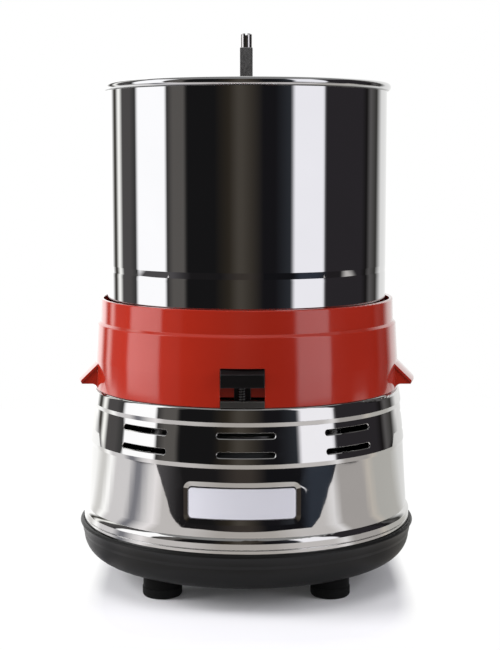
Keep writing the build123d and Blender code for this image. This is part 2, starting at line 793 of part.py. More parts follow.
# Lock ledge on the deck, with a guide hole for the button's pin
ledge_middle = -(lock_pocket_radius + lock_ledge_reach) / 2
with BuildPart() as lock_guide:
    with BuildSketch(Plane.XY.offset(shell_top_z)):
        with Locations((lock_shift, ledge_middle)):
            Rectangle(lock_notch_width - 2 * slide_gap, lock_ledge_reach - lock_pocket_radius - 2 * seat_gap)
        with Locations((lock_shift, -lock_pin_reach)):
            Circle(lock_pin_radius + turn_gap, mode=Mode.SUBTRACT)
        with Locations((lock_shift, -lock_pocket_radius)):
            Rectangle(lock_tab_width + 2 * slide_gap, 2 * (lock_tab_thickness + 2 * slide_gap),
                      mode=Mode.SUBTRACT)
    extrude(amount=lock_ledge)
keep(lock_guide, "lock_guide")

# Lock button: bevelled bar with a ramped notch at its back, a tab and a guide pin below
bar_back = lock_pocket_radius + slide_gap
notch_floor_z = lock_bolt_z - slide_gap
ramp_sum = lock_bar_reach - lock_bar_skin + notch_floor_z
pin_end_z = shell_top_z + lock_pin_end
tab_end_z = shell_top_z + lock_travel + slide_gap
with BuildPart() as lock_button:
    with BuildSketch(Plane.YZ.offset(lock_shift)):
        with BuildLine():
            Polyline((-lock_bar_reach, lock_bar_z), (-lock_bar_reach, lock_bar_top_z - lock_bevel_rise),
                     (-lock_bar_reach + lock_bevel_depth, lock_bar_top_z), (-bar_back, lock_bar_top_z),
                     (-bar_back, lock_bar_z), close=True)
        make_face()
    extrude(amount=lock_notch_width / 2 - slide_gap, both=True)
    with BuildSketch(Plane.YZ.offset(lock_shift)):
        with BuildLine():
            Polyline((-lock_pocket_radius, notch_floor_z), (notch_floor_z - ramp_sum, notch_floor_z),
                     (-lock_pocket_radius, ramp_sum - lock_pocket_radius), close=True)
        make_face()
    extrude(amount=lock_bolt_width / 2 + slide_gap, both=True, mode=Mode.SUBTRACT)
    with BuildSketch(Plane.XY.offset(pin_end_z)):
        with Locations((lock_shift, -lock_pin_reach)):
            Circle(lock_pin_radius)
    extrude(amount=lock_bar_z + lock_bolt_rise / 2 - pin_end_z)
    with BuildSketch(Plane.XY.offset(tab_end_z)):
        with Locations((lock_shift, -bar_back)):
            Rectangle(lock_tab_width, lock_tab_thickness, align=(Align.CENTER, Align.MAX))
    extrude(amount=lock_bar_z + lock_bolt_rise / 2 - tab_end_z)
keep(lock_button, "lock_button")

# Lock bolt: its ramped tail meets the button's ramp, its nose reaches for the groove in the drum's base
bolt_tail = ramp_sum - lock_bolt_z - slide_gap * sqrt(2)
with BuildPart() as lock_bolt:
    with BuildSketch(Plane.YZ.offset(lock_shift)):
        with BuildLine():
            Polyline((-lock_bolt_nose, lock_bolt_z), (-bolt_tail, lock_bolt_z),
                     (-bolt_tail + lock_bolt_height, lock_bolt_z + lock_bolt_height),
                     (-lock_bolt_nose, lock_bolt_z + lock_bolt_height), close=True)
        make_face()
    extrude(amount=lock_bolt_width / 2, both=True)
keep(lock_bolt, "lock_bolt")

# Lock spring: one wire wound round the button's pin, between ledge and bar
spring_foot_z = lock_ledge_z + spring_wire / 2 + turn_gap
spring_climb = lock_spring_length - spring_wire - 2 * turn_gap
spring_lead = spring_wire * spring_climb / (2 * pi * spring_radius * spring_turns)
spring_pitch = (spring_climb - 2 * spring_lead) / spring_turns
quarter_turns = 4 * spring_turns


def spring_point(turns):
    """Point and direction of the wire's middle after a number of turns."""
    angle = 2 * pi * turns
    point = Vector(lock_shift + spring_radius * cos(angle), spring_radius * sin(angle) - lock_pin_reach,
                   spring_foot_z + spring_lead + spring_pitch * turns)
    along = Vector(-2 * pi * spring_radius * sin(angle), 2 * pi * spring_radius * cos(angle), spring_pitch)
    return point, along.normalized()


def biarc(start, start_along, end, end_along):
    """Two arcs that leave start and reach end along the given directions."""
    chord = end - start
    both = start_along + end_along
    spread = 2 * (1 - start_along.dot(end_along))
    across = chord.dot(both)
    reach = (sqrt(across ** 2 + spread * chord.dot(chord)) - across) / spread
    middle = (start + end + (start_along - end_along) * reach) * 0.5
    middle_along = ((end - end_along * reach) - (start + start_along * reach)).normalized()
    TangentArc(start, middle, tangent=start_along)
    TangentArc(middle, end, tangent=middle_along)


with BuildPart() as lock_spring:
    with BuildLine() as spring_path:
        first, first_along = spring_point(0)
        Line(first - first_along * spring_wire, first)
        for quarter in range(quarter_turns):
            biarc(*spring_point(quarter / 4), *spring_point((quarter + 1) / 4))
        last, last_along = spring_point(spring_turns)
        Line(last, last + last_along * spring_wire)
    with BuildSketch(Plane(origin=first - first_along * spring_wire, z_dir=first_along)):
        Circle(spring_wire / 2)
    sweep(path=spring_path.wires()[0])
keep(lock_spring, "lock_spring")

samples_per_turn = 60
sample_count = spring_turns * samples_per_turn + 1
spring_samples = [spring_point(step / samples_per_turn)[0] for step in range(sample_count)]
spring_gap = min((one - two).length - spring_wire for index, one in enumerate(spring_samples)
                 for two in spring_samples[index + samples_per_turn // 2:])
print(f"lock spring: least gap between turns {spring_gap:.2f} mm")

# Centre shaft: threaded foot, flange, bearing seat, square bar and slotted stub
with BuildPart() as centre_shaft:
    with BuildSketch(Plane.XY.offset(chassis_top_z - shaft_thread)):
        Circle(shaft_thread_radius)
    extrude(amount=shaft_thread)
    with BuildSketch(Plane.XY.offset(chassis_top_z)):
        Circle(shaft_flange_radius)
    extrude(amount=shaft_flange)
    with BuildSketch(Plane.XY.offset(chassis_top_z + shaft_flange)):
        Circle(bearing_bore_radius + ring_land)
    extrude(amount=lower_bearing_z - chassis_top_z - shaft_flange)
    with BuildSketch(Plane.XY.offset(lower_bearing_z)):
        Circle(bearing_bore_radius)
    extrude(amount=hub_top_z - lower_bearing_z)
    with BuildSketch(Plane.XY.offset(hub_top_z)):
        Circle(shaft_neck_radius)
    extrude(amount=shaft_neck)
    with BuildSketch(Plane.XY.offset(circlip_z)):
        Circle(bearing_radius)
        Circle(bearing_bore_radius - circlip_depth, mode=Mode.SUBTRACT)
    extrude(amount=circlip_thickness + 2 * seat_gap, mode=Mode.SUBTRACT)
    with BuildSketch(Plane.XY.offset(hub_top_z + shaft_neck)):
        Rectangle(shaft_square, shaft_square)
    extrude(amount=shaft_shoulder_z - hub_top_z - shaft_neck)
    chamfer(centre_shaft.edges().group_by(Axis.Z)[-1], shaft_edge)
    with BuildSketch(Plane.XY.offset(shaft_shoulder_z)):
        Circle(shaft_stub_radius)
    extrude(amount=shaft_stub)
    chamfer(centre_shaft.edges().group_by(Axis.Z)[-1], stub_edge)
    with BuildSketch(Plane.XY.offset(shaft_shoulder_z + shaft_stub)):
        Rectangle(shaft_slot, 3 * shaft_stub_radius)
    extrude(amount=-shaft_slot_depth, mode=Mode.SUBTRACT)
keep(centre_shaft, "centre_shaft")

with BuildPart() as shaft_washer:
    with BuildSketch(Plane.XY.offset(chassis_z - washer_thickness)):
        Circle(washer_radius)
        Circle(shaft_thread_radius + seat_gap, mode=Mode.SUBTRACT)
    extrude(amount=washer_thickness)
keep(shaft_washer, "shaft_washer")

with BuildPart() as shaft_nut:
    with BuildSketch(Plane.XY.offset(chassis_z - washer_thickness - nut_thickness)):
        RegularPolygon(nut_width / 2, 6, major_radius=False)
        Circle(shaft_thread_radius + seat_gap, mode=Mode.SUBTRACT)
    extrude(amount=nut_thickness)
keep(shaft_nut, "shaft_nut")

with BuildPart() as shaft_circlip:
    with BuildSketch(Plane.XY.offset(circlip_z + seat_gap)):
        Circle(circlip_radius)
        Circle(bearing_bore_radius - circlip_depth + seat_gap, mode=Mode.SUBTRACT)
        with Locations((circlip_radius, 0)):
            Rectangle(circlip_radius, bearing_bore_radius / 2, mode=Mode.SUBTRACT)
    extrude(amount=circlip_thickness)
keep(shaft_circlip, "shaft_circlip")

# Ball bearings of the hub
ball_ring = (bearing_bore_radius + bearing_radius) / 2
bearing_floors = [lower_bearing_z, upper_bearing_z]


def bearing_rings(inner_edge, outer_edge):
    """Two rings, one at each bearing, with a ball groove turned in them."""
    with BuildPart() as rings:
        for floor_z in bearing_floors:
            with BuildSketch(Plane.XY.offset(floor_z)):
                Circle(outer_edge)
                Circle(inner_edge, mode=Mode.SUBTRACT)
            extrude(amount=bearing_width)
            with BuildSketch(Plane.XZ):
                with Locations((ball_ring, floor_z + bearing_width / 2)):
                    Circle(bearing_ball_radius + turn_gap)
            revolve(axis=Axis.Z, mode=Mode.SUBTRACT)
    return rings


bearing_inner_rings = bearing_rings(bearing_bore_radius + seat_gap, bearing_bore_radius + ring_land)
keep(bearing_inner_rings, "bearing_inner_rings")
bearing_outer_rings = bearing_rings(bearing_radius - ring_land, bearing_radius - seat_gap)
keep(bearing_outer_rings, "bearing_outer_rings")

with BuildPart() as bearing_balls:
    for floor_z in bearing_floors:
        with Locations((0, 0, floor_z + bearing_width / 2)):
            with PolarLocations(ball_ring, bearing_balls_each):
                Sphere(bearing_ball_radius)
keep(bearing_balls, "bearing_balls")

# Drive hub: sleeve round the bearings, a flange for the pulley and a disc with three drive pins
with BuildPart() as drive_hub:
    with BuildSketch(Plane.XY.offset(hub_bottom_z)):
        Circle(hub_radius)
    extrude(amount=hub_top_z - hub_bottom_z)
    with BuildSketch(Plane.XY.offset(pulley_top_z)):
        Circle(hub_flange_radius)
    extrude(amount=hub_flange)
    with BuildSketch(Plane.XY.offset(hub_disc_z)):
        Circle(hub_disc_radius)
    extrude(amount=hub_disc)
    with BuildSketch(Plane.XY.offset(hub_bottom_z)):
        Circle(bearing_radius - ring_land / 2)
    extrude(amount=hub_top_z - hub_bottom_z, mode=Mode.SUBTRACT)
    with BuildSketch(Plane.XY.offset(hub_bottom_z)):
        Circle(bearing_radius)
    extrude(amount=bearing_inset + bearing_width, mode=Mode.SUBTRACT)
    with BuildSketch(Plane.XY.offset(upper_bearing_z)):
        Circle(bearing_radius)
    extrude(amount=bearing_width + hub_head, mode=Mode.SUBTRACT)
    with BuildSketch(Plane.XY.offset(hub_disc_z)):
        with PolarLocations(drive_pin_ring, drive_pin_count, 90):
            Circle(drive_pin_radius + seat_gap)
    extrude(amount=hub_disc, mode=Mode.SUBTRACT)
    with BuildSketch(Plane.XY.offset(pulley_top_z)):
        with PolarLocations(pulley_screw_ring, 4):
            Circle(small_screw_radius + seat_gap)
    extrude(amount=hub_flange, mode=Mode.SUBTRACT)
keep(drive_hub, "drive_hub")

with BuildPart() as drive_pins:
    with BuildSketch(Plane.XY.offset(hub_disc_z)):
        with PolarLocations(drive_pin_ring, drive_pin_count, 90):
            Circle(drive_pin_radius)
    extrude(amount=hub_disc + drive_pin_rise)
    chamfer(drive_pins.edges().group_by(Axis.Z)[-1], drive_pin_radius / 5)
keep(drive_pins, "drive_pins")

# Large pulley, screwed up against the hub's flange
with BuildPart() as drive_pulley:
    with BuildSketch(Plane.XY.offset(hub_bottom_z)):
        Circle(pulley_radius)
        Circle(hub_radius + seat_gap, mode=Mode.SUBTRACT)
    extrude(amount=pulley_width)
    for floor_z in (hub_bottom_z, hub_bottom_z + (pulley_width + pulley_web) / 2):
        with BuildSketch(Plane.XY.offset(floor_z)):
            Circle(pulley_radius - pulley_rim)
            Circle(hub_flange_radius, mode=Mode.SUBTRACT)
        extrude(amount=(pulley_width - pulley_web) / 2, mode=Mode.SUBTRACT)
    with BuildSketch(Plane.XY.offset(hub_bottom_z)):
        with PolarLocations(pulley_hole_ring, 6):
            Circle(pulley_hole_radius)
    extrude(amount=pulley_width, mode=Mode.SUBTRACT)
    with BuildSketch(Plane.XY.offset(hub_bottom_z)):
        with PolarLocations(pulley_screw_ring, 4):
            Circle(small_screw_radius + seat_gap)
    extrude(amount=pulley_width, mode=Mode.SUBTRACT)
    with BuildSketch(Plane.XY.offset(hub_bottom_z)):
        with PolarLocations(pulley_screw_ring, 4):
            Circle(small_head_radius + seat_gap)
    extrude(amount=small_head, mode=Mode.SUBTRACT)
keep(drive_pulley, "drive_pulley")

with BuildPart() as pulley_screws:
    with BuildSketch(Plane.XY.offset(hub_bottom_z)):
        with PolarLocations(pulley_screw_ring, 4):
            Circle(small_head_radius)
    extrude(amount=small_head)
    with BuildSketch(Plane.XY.offset(hub_bottom_z + small_head)):
        with PolarLocations(pulley_screw_ring, 4):
            Circle(small_screw_radius)
    extrude(amount=pulley_width + hub_flange - small_head)
    with BuildSketch(Plane.XY.offset(hub_bottom_z)):
        with PolarLocations(pulley_screw_ring, 4):
            Rectangle(recess_length, recess_width)
            Rectangle(recess_width, recess_length)
    extrude(amount=recess_depth, mode=Mode.SUBTRACT)
keep(pulley_screws, "pulley_screws")

# Flat belt, a loop round both pulleys
with BuildPart() as drive_belt:
    with BuildSketch(Plane.XY.offset(pulley_mid_z - belt_width / 2)):
        Circle(pulley_radius + slide_gap + belt_thickness)
        with Locations(motor_centre):
            Circle(small_pulley_radius + slide_gap + belt_thickness)
        make_hull()
    extrude(amount=belt_width)
    with BuildSketch(Plane.XY.offset(pulley_mid_z - belt_width / 2)):
        Circle(pulley_radius + slide_gap)
        with Locations(motor_centre):
            Circle(small_pulley_radius + slide_gap)
        make_hull()
    extrude(amount=belt_width, mode=Mode.SUBTRACT)
keep(drive_belt, "drive_belt")

# Motor: can, two caps with bushes, stator, windings and mounting screws
can_z = motor_bottom_z + motor_cap
can_top_z = can_z + motor_can_height
stator_height = motor_can_height - 2 * (winding_height + winding_gap)
stator_z = can_z + winding_gap + winding_height
stator_radius = motor_radius - motor_wall - seat_gap
bush_radius_motor = motor_shaft_radius + bush_wall
with BuildPart() as motor_can:
    with BuildSketch(Plane.XY.offset(can_z)):
        with Locations(motor_centre):
            Circle(motor_radius)
            Circle(motor_radius - motor_wall, mode=Mode.SUBTRACT)
    extrude(amount=motor_can_height)
keep(motor_can, "motor_can")

with BuildPart() as motor_top_cap:
    with BuildSketch(Plane.XY.offset(can_top_z)):
        with Locations(motor_centre):
            Circle(motor_radius)
            Circle(bush_radius_motor + seat_gap, mode=Mode.SUBTRACT)
            with PolarLocations(motor_screw_ring, 4, 45):
                Circle(small_screw_radius + seat_gap, mode=Mode.SUBTRACT)
    extrude(amount=motor_cap)
keep(motor_top_cap, "motor_top_cap")

with BuildPart() as motor_bottom_cap:
    with BuildSketch(Plane.XY.offset(motor_bottom_z)):
        with Locations(motor_centre):
            Circle(motor_radius)
            Circle(bush_radius_motor + seat_gap, mode=Mode.SUBTRACT)
            with PolarLocations((bush_radius_motor + motor_radius) / 2, 6):
                Circle(bush_radius_motor, mode=Mode.SUBTRACT)
    extrude(amount=motor_cap)
keep(motor_bottom_cap, "motor_bottom_cap")

with BuildPart() as motor_bushes:
    for floor_z in (motor_bottom_z, can_top_z):
        with BuildSketch(Plane.XY.offset(floor_z)):
            with Locations(motor_centre):
                Circle(bush_radius_motor)
                Circle(motor_shaft_radius + turn_gap, mode=Mode.SUBTRACT)
        extrude(amount=motor_cap)
keep(motor_bushes, "motor_bushes")

with BuildPart() as motor_stator:
    with BuildSketch(Plane.XY.offset(stator_z)):
        with Locations(motor_centre):
            Circle(stator_radius)
            Circle(stator_bore_radius, mode=Mode.SUBTRACT)
    extrude(amount=stator_height)
keep(motor_stator, "motor_stator")

winding_middle = (stator_bore_radius + stator_radius) / 2
with BuildPart() as motor_windings:
    for floor_z in (stator_z - winding_height, stator_z + stator_height):
        with BuildSketch(Plane.XY.offset(floor_z)):
            with Locations(motor_centre):
                Circle(winding_middle + winding_wall / 2)
                Circle(winding_middle - winding_wall / 2, mode=Mode.SUBTRACT)
        extrude(amount=winding_height)
keep(motor_windings, "motor_windings")

with BuildPart() as motor_screws:
    with BuildSketch(Plane.XY.offset(chassis_top_z)):
        with Locations(motor_centre):
            with PolarLocations(motor_screw_ring, 4, 45):
                Circle(small_head_radius)
    extrude(amount=small_head)
    with BuildSketch(Plane.XY.offset(chassis_top_z)):
        with Locations(motor_centre):
            with PolarLocations(motor_screw_ring, 4, 45):
                Circle(small_screw_radius)
    extrude(amount=-chassis_thickness - motor_cap)
    with BuildSketch(Plane.XY.offset(chassis_top_z + small_head)):
        with Locations(motor_centre):
            with PolarLocations(motor_screw_ring, 4, 45):
                Rectangle(recess_length, recess_width)
                Rectangle(recess_width, recess_length)
    extrude(amount=-recess_depth, mode=Mode.SUBTRACT)
keep(motor_screws, "motor_screws")

# Motor rotor with its shaft, the small pulley and the fan
with BuildPart() as motor_rotor:
    with BuildSketch(Plane.XY.offset(motor_bottom_z - motor_tail)):
        with Locations(motor_centre):
            Circle(motor_shaft_radius)
    extrude(amount=pulley_top_z - motor_bottom_z + motor_tail)
    with BuildSketch(Plane.XY.offset(stator_z)):
        with Locations(motor_centre):
            Circle(stator_bore_radius - rotor_gap)
    extrude(amount=stator_height)
keep(motor_rotor, "motor_rotor")

flange_floors = (hub_bottom_z, pulley_top_z - small_pulley_flange_width)
with BuildPart() as motor_pulley:
    with BuildSketch(Plane.XY.offset(hub_bottom_z)):
        with Locations(motor_centre):
            Circle(small_pulley_radius)
    extrude(amount=pulley_width)
    for floor_z in flange_floors:
        with BuildSketch(Plane.XY.offset(floor_z)):
            with Locations(motor_centre):
                Circle(small_pulley_radius + small_pulley_flange)
        extrude(amount=small_pulley_flange_width)
    with BuildSketch(Plane.XY.offset(hub_bottom_z)):
        with Locations(motor_centre):
            Circle(motor_shaft_radius + seat_gap)
    extrude(amount=pulley_width, mode=Mode.SUBTRACT)
keep(motor_pulley, "motor_pulley")

blade_tip = fan_radius - fan_blade
blade_root = fan_hub_radius - fan_blade
with BuildPart() as cooling_fan:
    with BuildSketch(Plane.XY.offset(fan_z + fan_height - fan_disc)):
        with Locations(motor_centre):
            Circle(fan_radius)
    extrude(amount=fan_disc)
    with BuildSketch(Plane.XY.offset(fan_z)):
        with Locations(motor_centre):
            Circle(fan_hub_radius)
            with PolarLocations((blade_root + blade_tip) / 2, fan_blades):
                Rectangle(blade_tip - blade_root, fan_blade)
    extrude(amount=fan_height - fan_disc)
    with BuildSketch(Plane.XY.offset(fan_z)):
        with Locations(motor_centre):
            Circle(motor_shaft_radius + seat_gap)
    extrude(amount=fan_height, mode=Mode.SUBTRACT)
keep(cooling_fan, "cooling_fan")

# Run capacitor, its clip and the terminal block, all on the pan's floor
with BuildPart() as capacitor:
    with BuildSketch(Plane.XY.offset(pan_floor_z)):
        with Locations(capacitor_place):
            Circle(capacitor_radius)
    extrude(amount=capacitor_height)
    fillet(capacitor.edges().group_by(Axis.Z)[-1], capacitor_radius / 10)
    with BuildSketch(Plane.XY.offset(pan_floor_z + capacitor_height)):
        with Locations(capacitor_place):
            with GridLocations(capacitor_radius, capacitor_radius, 2, 1):
                Rectangle(clip_thickness / 2, capacitor_terminal)
    extrude(amount=capacitor_terminal)
keep(capacitor, "capacitor")

clip_radius = capacitor_radius + seat_gap + clip_thickness
clip_place_y = capacitor_place[1] - clip_radius - clip_foot / 2
with BuildPart() as capacitor_clip:
    with BuildSketch(Plane.XY.offset(pan_floor_z + clip_rise)):
        with Locations(capacitor_place):
            Circle(clip_radius)
            Circle(capacitor_radius + seat_gap, mode=Mode.SUBTRACT)
    extrude(amount=clip_height)
    with BuildSketch(Plane.XY.offset(pan_floor_z)):
        with Locations((capacitor_place[0], capacitor_place[1] - clip_radius + clip_thickness / 2)):
            Rectangle(clip_foot, clip_thickness)
    extrude(amount=clip_rise + clip_height)
    with BuildSketch(Plane.XY.offset(pan_floor_z)):
        with Locations((capacitor_place[0], clip_place_y + clip_thickness)):
            Rectangle(clip_foot, clip_foot)
            Circle(small_screw_radius, mode=Mode.SUBTRACT)
    extrude(amount=clip_thickness)
    with BuildSketch(Plane.XY.offset(pan_floor_z)):
        with Locations(capacitor_place):
            Circle(capacitor_radius + seat_gap)
    extrude(amount=capacitor_height, mode=Mode.SUBTRACT)
keep(capacitor_clip, "capacitor_clip")

terminal_length, terminal_depth, terminal_height = terminal_size
terminal_pitch = terminal_length / terminal_ways
with BuildPart() as terminal_block:
    with BuildSketch(Plane.XY.offset(pan_floor_z)):
        with Locations(terminal_place):
            Rectangle(terminal_length, terminal_depth)
    extrude(amount=terminal_height)
    with BuildSketch(Plane.XY.offset(pan_floor_z + terminal_height)):
        with Locations(terminal_place):
            with GridLocations(terminal_pitch, terminal_depth / 2, terminal_ways, 2):
                Circle(terminal_depth / 6)
    extrude(amount=-terminal_height / 2, mode=Mode.SUBTRACT)
keep(terminal_block, "terminal_block")

# Power switch on the back: bezel bent to the wall, body through the wall, rocker on its stubs
switch_face = switch_wall + switch_proud
pivot_y = switch_face - rocker_pivot_depth
rocker_width = switch_window_width - 2 * slide_gap
with BuildPart() as switch_housing:
    with BuildSketch(Plane.XZ.offset(-switch_face)):
        with Locations((0, switch_z)):
            RectangleRounded(switch_width, switch_height, switch_corner)
    extrude(amount=2 * switch_proud + sheet)
    fillet(switch_housing.faces().sort_by(Axis.Y)[-1].edges(), switch_proud / 3)
    add(skirt_outline(-seat_gap), mode=Mode.SUBTRACT)
    with BuildSketch(Plane.XZ.offset(-switch_face + switch_proud / 2)):
        with Locations((0, switch_z)):
            Rectangle(switch_body_width, switch_body_height)
    extrude(amount=switch_depth)
    with BuildSketch(Plane.XZ.offset(-switch_face)):
        with Locations((0, switch_z)):
            Rectangle(switch_window_width, switch_window_height)
    extrude(amount=switch_window_depth, mode=Mode.SUBTRACT)
    with BuildSketch(Plane.YZ):
        with Locations((pivot_y, switch_z)):
            Circle(rocker_stub_radius + turn_gap)
    extrude(amount=rocker_width / 2 + rocker_stub + slide_gap, both=True, mode=Mode.SUBTRACT)
keep(switch_housing, "switch_housing")

rocker_lean = radians(rocker_tilt)
rocker_along = (0, cos(rocker_lean), sin(rocker_lean))
rocker_plane = Plane(origin=(0, pivot_y, switch_z), x_dir=rocker_along, z_dir=(1, 0, 0))
rocker_front = rocker_pivot_depth + rocker_reach
with BuildPart() as switch_rocker:
    with BuildSketch(rocker_plane):
        with BuildLine():
            face = Polyline((0, -rocker_height / 2), (rocker_front, -rocker_height / 2),
                            (rocker_front - rocker_dish, 0), (rocker_front, rocker_height / 2),
                            (0, rocker_height / 2))
            ThreePointArc(face @ 1, (-rocker_back, 0), face @ 0)
        make_face()
    extrude(amount=rocker_width / 2, both=True)
    with BuildSketch(rocker_plane):
        Circle(rocker_stub_radius)
    extrude(amount=rocker_width / 2 + rocker_stub, both=True)
keep(switch_rocker, "switch_rocker")

# Cord gland through the wall, with its nut inside
gland_plane = radial_plane(gland_angle, gland_wall, gland_z)
with BuildPart() as cord_gland:
    with BuildSketch(gland_plane.offset(-gland_flange)):
        Circle(gland_radius)
    extrude(amount=2 * gland_flange)
    add(skirt_outline(-seat_gap), mode=Mode.SUBTRACT)
    with BuildSketch(gland_plane.offset(gland_flange)):
        Circle(gland_nose_radius)
    extrude(amount=gland_nose, taper=gland_nose_taper)
    with BuildSketch(gland_plane.offset(-gland_inner)):
        Circle(gland_shank_radius)
    extrude(amount=gland_inner + gland_flange / 2)
    with BuildSketch(gland_plane.offset(-gland_inner + slide_gap)):
        RegularPolygon(gland_nut_width / 2, 6, major_radius=False)
    extrude(amount=gland_nut)
    with BuildSketch(gland_plane.offset(-gland_inner)):
        Circle(gland_bore_radius)
    extrude(amount=gland_inner + gland_flange + gland_nose, mode=Mode.SUBTRACT)
keep(cord_gland, "cord_gland")

# Drum shell: straight wall with a rolled rim, a pressed groove and a flat floor
groove_z = drum_bottom_z + groove_rise
bead_z = drum_rim_z - bead_radius


def groove_side(start, radius, rise):
    """Bowed side of the drum's groove, from the straight wall to the groove's middle."""
    middle = (radius - groove_depth * groove_bow, groove_z + rise / 2)
    return ThreePointArc(start, middle, (radius - groove_depth, groove_z))


with BuildPart() as drum_shell:
    with BuildSketch(Plane.XZ):
        with BuildLine():
            base = Line((0, drum_bottom_z), (drum_radius - drum_corner, drum_bottom_z))
            turn = ThreePointArc(base @ 1, (drum_radius - drum_corner * arc_share,
                                            drum_bottom_z + drum_corner * arc_share),
                                 (drum_radius, drum_bottom_z + drum_corner))
            low = Line(turn @ 1, (drum_radius, groove_z - groove_below))
            dip = groove_side(low @ 1, drum_radius, -groove_below)
            swell = groove_side((drum_radius, groove_z + groove_above), drum_radius, groove_above)
            high = Line(swell @ 0, (drum_radius, bead_z))
            Polyline(high @ 1, (0, bead_z), base @ 0)
        make_face()
    revolve(axis=Axis.Z)
    inner_corner_drum = drum_corner - drum_wall
    with BuildSketch(Plane.XZ):
        with BuildLine():
            base = Line((0, drum_floor_z), (drum_inner - inner_corner_drum, drum_floor_z))
            turn = ThreePointArc(base @ 1, (drum_inner - inner_corner_drum * arc_share,
                                            drum_floor_z + inner_corner_drum * arc_share),
                                 (drum_inner, drum_floor_z + inner_corner_drum))
            low = Line(turn @ 1, (drum_inner, groove_z - groove_below))
            dip = groove_side(low @ 1, drum_inner, -groove_below)
            swell = groove_side((drum_inner, groove_z + groove_above), drum_inner, groove_above)
            high = Line(swell @ 0, (drum_inner, drum_rim_z))
            Polyline(high @ 1, (0, drum_rim_z), base @ 0)
        make_face()
    revolve(axis=Axis.Z, mode=Mode.SUBTRACT)
    with BuildSketch(Plane.XZ):
        with Locations((drum_radius, bead_z)):
            Circle(bead_radius)
    revolve(axis=Axis.Z)
    with BuildSketch(Plane.XY.offset(drum_bottom_z)):
        Circle(tube_radius - tube_wall)
        with PolarLocations(drum_screw_ring, drum_screw_count):
            Circle(small_screw_radius + seat_gap)
    extrude(amount=drum_floor, mode=Mode.SUBTRACT)
keep(drum_shell, "drum_shell")

# Granite bed, on the drum's floor and round the tube
with BuildPart() as base_stone:
    with BuildSketch(Plane.XY.offset(drum_floor_z)):
        Circle(stone_radius)
        Circle(tube_radius + seat_gap, mode=Mode.SUBTRACT)
    extrude(amount=stone_thickness)
    chamfer(base_stone.edges().group_by(Axis.Z)[-1].sort_by(SortBy.LENGTH)[-1], stone_edge)
    chamfer(base_stone.edges().group_by(Axis.Z)[0].sort_by(SortBy.LENGTH)[-1], inner_corner_drum)
    with BuildSketch(Plane.XY.offset(drum_floor_z)):
        Circle(tube_flange_radius + seat_gap)
    extrude(amount=tube_flange + seat_gap, mode=Mode.SUBTRACT)
    with BuildSketch(Plane.XY.offset(drum_floor_z)):
        with PolarLocations(drum_screw_ring, drum_screw_count):
            Circle(small_screw_radius + seat_gap)
    extrude(amount=small_screw, mode=Mode.SUBTRACT)
keep(base_stone, "base_stone")

# Tube round the shaft, its flange clamped under the granite bed
with BuildPart() as centre_tube:
    with BuildSketch(Plane.XY.offset(drum_floor_z)):
        Circle(tube_flange_radius)
    extrude(amount=tube_flange)
    with BuildSketch(Plane.XY.offset(drum_floor_z)):
        Circle(tube_radius)
    extrude(amount=tube_top_z - drum_floor_z)
    with BuildSketch(Plane.XY.offset(drum_floor_z)):
        Circle(tube_radius - tube_wall)
    extrude(amount=tube_top_z - drum_floor_z, mode=Mode.SUBTRACT)
    fillet(centre_tube.edges().group_by(Axis.Z)[-1], tube_wall / 4)
keep(centre_tube, "centre_tube")

# Drum base: boss with pin sockets, web, ribs and a skirt with the lock's groove
web_z = drum_bottom_z - drum_base_web
skirt_z = drum_bottom_z - drum_base_skirt_drop
skirt_inner = drum_base_radius - drum_base_skirt
rib_length = skirt_inner - drum_base_boss_radius + drum_base_rib
lock_groove_z = lock_bolt_z - 2 * slide_gap
with BuildPart() as drum_base:
    with BuildSketch(Plane.XY.offset(drum_base_z)):
        Circle(drum_base_boss_radius)
    extrude(amount=drum_base_height)
    with BuildSketch(Plane.XY.offset(web_z)):
        Circle(drum_base_radius)
    extrude(amount=drum_base_web)
    with BuildSketch(Plane.XY.offset(skirt_z)):
        Circle(drum_base_radius)
        Circle(skirt_inner, mode=Mode.SUBTRACT)
    extrude(amount=drum_base_skirt_drop)
    with BuildSketch(Plane.XY.offset(web_z - drum_base_rib_height)):
        with PolarLocations((drum_base_boss_radius + skirt_inner) / 2, drum_base_ribs, 180 / drum_base_ribs):
            Rectangle(rib_length, drum_base_rib)
    extrude(amount=drum_base_rib_height)
    with BuildSketch(Plane.XY.offset(lock_groove_z)):
        Circle(drum_base_radius + drum_base_skirt)
        Circle(drum_base_radius - lock_groove_depth, mode=Mode.SUBTRACT)
    extrude(amount=lock_bolt_height + 4 * slide_gap, mode=Mode.SUBTRACT)
    with BuildSketch(Plane.XY.offset(drum_base_z)):
        Circle(bearing_bore_radius + air_gap)
    extrude(amount=drum_base_height, mode=Mode.SUBTRACT)
    with BuildSketch(Plane.XY.offset(drum_base_z)):
        Circle(circlip_radius + air_gap)
    extrude(amount=hub_head, mode=Mode.SUBTRACT)
    with BuildSketch(Plane.XY.offset(drum_base_z)):
        with PolarLocations(drive_pin_ring, drive_pin_count, 90):
            Circle(drive_pin_radius + slide_gap)
    extrude(amount=drive_pin_rise + slide_gap, mode=Mode.SUBTRACT)
    with BuildSketch(Plane.XY.offset(web_z)):
        with PolarLocations(drum_screw_ring, drum_screw_count):
            Circle(small_screw_radius + seat_gap)
    extrude(amount=drum_base_web, mode=Mode.SUBTRACT)
keep(drum_base, "drum_base")

